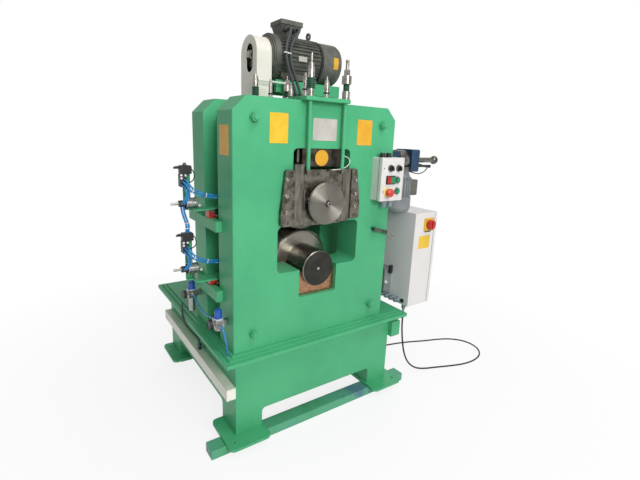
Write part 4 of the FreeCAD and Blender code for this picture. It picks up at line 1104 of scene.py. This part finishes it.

# %% [markdown]
# The springs sit between the crosshead sleeves, which stay, and the rods' collars, which
# travel with the chocks. Each stack is one mesh with rounded turns, from the stand at its
# foot to the carriage at its top, and it rides with no body. The root of a sine swells fast
# and stays wide, as a row of thick rings does.

# %% Springs on the tie rods
RINGS, POINTS_A_RING, BORE_R = 5, 8, 8.6
STACKS = ((314, 1043, 1083, 13.0, 17.0), (486, 1047, 1075, 10.8, 13.0))
for side, (x, low, high, root, crest) in zip(("left", "right"), STACKS):
    steps = RINGS * POINTS_A_RING
    profile = [(BORE_R, 0)]
    for i in range(steps + 1):
        swell = math.sqrt(abs(math.sin(math.pi * RINGS * i / steps)))
        profile.append((root + (crest - root) * swell, (high - low) * i / steps))
    profile.append((BORE_R, high - low))
    bm = bmesh.new()
    for y in (-20, MIRROR_Y + 20):
        turned(bm, profile, (x, y, low), UP, sides=36)
    stack = piece("spring_stacks_" + side, bm, spring_enamel, None)
    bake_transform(stack)
    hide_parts("balance_springs")
    tell("%d rings, %d mm high" % (RINGS, high - low))

# %% [markdown]
# ## Motor
#
# Its fan cowl is a deep sheet drum with a plain plate bent to it, so that plate is a strip of
# points around the motor's axis. The plate on the fins is flat. The terminal box has a lid
# with four screws, and the shaft ends in a bright hub in the belt guard's window.

# %% Plates and screws on the motor
COWL_R = 108.0
MOTOR_Y, MOTOR_Z = 578.0, 1245.0
PLATE_X, PLATE_T = (782, 813), 0.9
PLATE_FROM, PLATE_ARC, PLATE_STEPS = 180 - 15.5, 31, 8

slab("motor_blank_plate", (560, 610), (465.4, 467.0), (1228, 1252), silver_plate,
     bevel_mm=0.3)
section = [(PLATE_X[0], COWL_R), (PLATE_X[1], COWL_R), (PLATE_X[1], COWL_R + PLATE_T),
           (PLATE_X[0], COWL_R + PLATE_T)]
bm = bmesh.new()
rows = []
for i in range(PLATE_STEPS + 1):
    angle = math.radians(PLATE_FROM + PLATE_ARC * i / PLATE_STEPS)
    rows.append([bm.verts.new((x, MOTOR_Y + math.cos(angle) * r, MOTOR_Z + math.sin(angle) * r))
                 for x, r in section])
for one, other in zip(rows, rows[1:]):
    for i in range(4):
        j = (i + 1) % 4
        bm.faces.new((one[i], one[j], other[j], other[i]))
bm.faces.new(rows[0])
bm.faces.new(rows[-1])
piece("cowl_blank_plate", bm, orange_plate)
screw_heads("terminal_lid_screws", [(x, y, 1421) for y in (527, 629) for x in (495, 607)],
            UP, 4.5, 1.2, bright_steel)
spun("guard_hub_cap", [(17, 0), (17, 3), (8, 5), (0, 5)], (340, MOTOR_Y, MOTOR_Z), TO_LEFT,
     bright_steel, "motor_rotor", sides=28)
tell("motor")

# %% [markdown]
# ## Adjuster
#
# Two inductive sensors stand beside the adjusting rod, each held by two nuts. A thin cable
# loops from the gearbox to the nearer one. The gearbox cover has a screw in each corner.

# %% Sensor cable and cover screws
SENSOR_CABLE = [(952, 36, 722), (958, 34, 714), (991, 33, 705), (1028, 33, 701), (1064, 33, 710),
                (1084, 34, 726), (1096, 36, 738), (1106, 39, 741), (1115, 40, 740)]
freed("sensor_cable", SENSOR_CABLE, 5.0, cable_pvc)
cover_screws = [(1000, y, z) for y in (24, 116) for z in (723, 812)]
screw_heads("cover_screws", cover_screws, TO_RIGHT, 4.0, 2.2, bright_steel)
bm = bmesh.new()
for y in (40, 100):
    for low, high in ((0, 7), (12, 18)):
        turned(bm, [(6.2, low), (8.0, low), (8.0, high), (6.2, high)], (1001, y, 740), TO_RIGHT,
               sides=6)
piece("sensor_nuts", bm, bright_steel, bevel_mm=0.4)
tell("adjuster")

# %% [markdown]
# ## Air sets
#
# Each valve has pale push-in fittings on its front, a nut over its solenoid and a small
# square plug whose cable runs down behind.

# %% Fittings, nuts and plugs of the valves
VALVE_ABOVE_SET = 108


def fitting(bm, place, axis, radius=5.2, length=6.0):
    """A push-in fitting: a collar with a shoulder, closed at both ends."""
    profile = [(radius * 0.8, 0), (radius, 0.8), (radius, length * 0.6), (radius * 0.86, length)]
    return turned(bm, profile, place, axis, sides=20)


def valve_pieces(number, set_z):
    valve = set_z + VALVE_ABOVE_SET
    bm = bmesh.new()
    for x, rise in ((-119, 19), (-103, 30), (-119, 31), (-101, -8)):
        fitting(bm, (x, 216, valve + rise), TO_FRONT, radius=4.6)
    piece("valve_fittings_%d" % number, bm, white_nylon)
    spun("solenoid_nut_%d" % number, [(9, 0), (9, 3), (6, 3.6), (6, 9), (4.5, 10), (0, 10)],
         (-100, 231, set_z + 176), UP, motor_enamel, sides=6, bevel_mm=0.5)
    bm = block(bmesh.new(), (-136, -119), (224, 238), (set_z + 163, set_z + 173))
    turned(bm, [(4.5, 0), (4.5, 8), (3.2, 10), (0, 10)], (-134, 231, set_z + 168), (-1, 0, -0.25),
           sides=16)
    piece("solenoid_plug_%d" % number, bm, black_nylon, bevel_mm=1.5)
    cable = [(-78, 231, set_z + 164), (-70, 228, set_z + 159), (-66, 222, set_z + 146),
             (-66, 218, set_z + 130), (-72, 222, set_z + 114), (-84, 240, set_z + 104)]
    freed("valve_cable_%d" % number, cable, 4.2, cable_pvc)


# %% [markdown]
# The air cylinder under each valve is a tube between two bright end rings, with a hexagon
# where its rod comes out and two black fittings at its back.

# %% Cylinders
CYLINDER_Y = 215


def cylinder_pieces(number, set_z):
    axis_z = set_z + 28
    bm = bmesh.new()
    for x in (-70, -108):
        turned(bm, [(22.1, 0), (23.8, 0.6), (23.8, 5), (22.1, 5.6)], (x, CYLINDER_Y, axis_z),
               TO_RIGHT)
    turned(bm, [(8, 0), (8, 8), (6.2, 8)], (-64, CYLINDER_Y, axis_z - 12), TO_RIGHT, sides=6)
    piece("cylinder_rings_%d" % number, bm, bright_steel, bevel_mm=0.4)
    bm = bmesh.new()
    fitting(bm, (-124, 204.5, axis_z), (-0.1, -1, 0.25))
    fitting(bm, (-114, 204.5, axis_z - 1), (-0.1, -1, 0.25))
    piece("cylinder_fittings_%d" % number, bm, black_nylon)


for number, set_z in enumerate(SET_Z):
    valve_pieces(number, set_z)
    cylinder_pieces(number, set_z)
    tell("air set %d" % number)

# %% [markdown]
# White ties hold the tubes together in pairs. Each is a strap across its pair, turned along
# the tubes: flat for the pairs to the housing, upright for the pair between the sets.

# %% Ties on the tube pairs
TIES = []
for set_z in SET_Z:
    valve = set_z + VALVE_ABOVE_SET
    TIES.append(((-89.5, 172, valve - 25.5), (36, -2, -18), 9.5, 18.5))
    TIES.append(((-38, 171, valve - 44.5), (31, 2, -7), 9.5, 17.5))
TIES.append(((-104.3, 211, SET_Z[0] - 50), (2, 2, -28), 18.5, 9.5))
TIES.append(((-101, 214, SET_Z[0] - 72), (3, 4, -30), 18.5, 9.5))
for number, (middle, along, wide, tall) in enumerate(TIES):
    piece("tube_tie_%d" % number, strap(bmesh.new(), middle, along, wide, tall, 3.2, 1.0),
          white_nylon)
tell("ties")

# %% [markdown]
# The regulators have a white collar under the knob and a gauge with a white dial, whose
# needle is a thin block over a small hub. A fitting on the front takes the air tube.

# %% Regulator collars and gauges
for number, (x, y, z) in enumerate(((-42, 375, 160), (-38, 62, 141))):
    gauge_z = z - 18
    spun("knob_collar_%d" % number, [(17.6, 0), (19.4, 0.4), (19.4, 3.4), (17.6, 3.8)],
         (x, y, z), UP, white_nylon, sides=40)
    spun("gauge_bezel_%d" % number,
         [(16.2, 0), (19.3, 0), (19.3, 2.0), (17.6, 2.6), (16.2, 1.0)],
         (x - 38, y, gauge_z), TO_LEFT, black_nylon, sides=40)
    spun("gauge_dial_%d" % number, [(16.2, 0), (16.2, 0.5), (0, 0.5)], (x - 38, y, gauge_z),
         TO_LEFT, white_nylon, sides=40)
    bm = block(bmesh.new(), (x - 39.1, x - 38.5), (y - 1, y + 1), (z - 22, z - 5))
    turned(bm, [(2.4, 0), (2.4, 0.8), (0, 0.8)], (x - 38.4, y, gauge_z), TO_LEFT, sides=16)
    piece("gauge_needle_%d" % number, bm, black_nylon, bevel_mm=0.2)
    bm = bmesh.new()
    fitting(bm, (x, y - 26, gauge_z), TO_FRONT, radius=6.4, length=7)
    turned(bm, [(9, 0), (9, 5), (7.2, 5)], (x, y - 18, gauge_z), TO_FRONT, sides=6)
    turned(bm, [(15.1, 0), (16.6, 0.5), (16.6, 6), (15.1, 6.5)], (x, y, z - 44), UP)
    piece("regulator_fittings_%d" % number, bm, bright_steel, bevel_mm=0.3)
    tell("regulator %d" % number)

# %% [markdown]
# ## Loose cables at the back and on the left
#
# A conduit comes over the left edge of the table, runs along below it and ends in a gland on
# the duct. Its ribs are finer than a millimetre and are left to the bump of its sheath.

# %% Side conduit
CONDUIT = [(-26, 588, 6), (-34, 562, 7), (-46, 522, 2), (-55, 490, -18), (-55, 466, -42),
           (-48, 446, -56), (-40, 424, -68), (-28, 404, -84), (-15, 398, -98), (-6, 398, -114),
           (-4, 399, -140)]
freed("side_conduit", CONDUIT, 9.0, motor_cable_pvc)
spun("conduit_gland", [(9, 0), (9, 8), (7.5, 9), (7.5, 16), (9.5, 17), (9.5, 26), (6, 31), (5, 32)],
     (-4, 399, -165), UP, blue_gland_nylon, sides=12, bevel_mm=0.5)
tell("conduit")

# %% [markdown]
# A straight white tube with a fitting at each end joins the two rear rods behind the
# crossheads, and travels with them.

# %% Rear tube
TUBE_LONG = 148
spun("rear_white_tube",
     [(6.4, 0), (6.4, 7), (4.8, 8), (4.8, TUBE_LONG - 8), (6.4, TUBE_LONG - 7), (6.4, TUBE_LONG)],
     (327, CABLE_Y, 1113), TO_RIGHT, white_nylon, "carriage", sides=24,
     bevel_mm=0.4)
tell("rear rods")
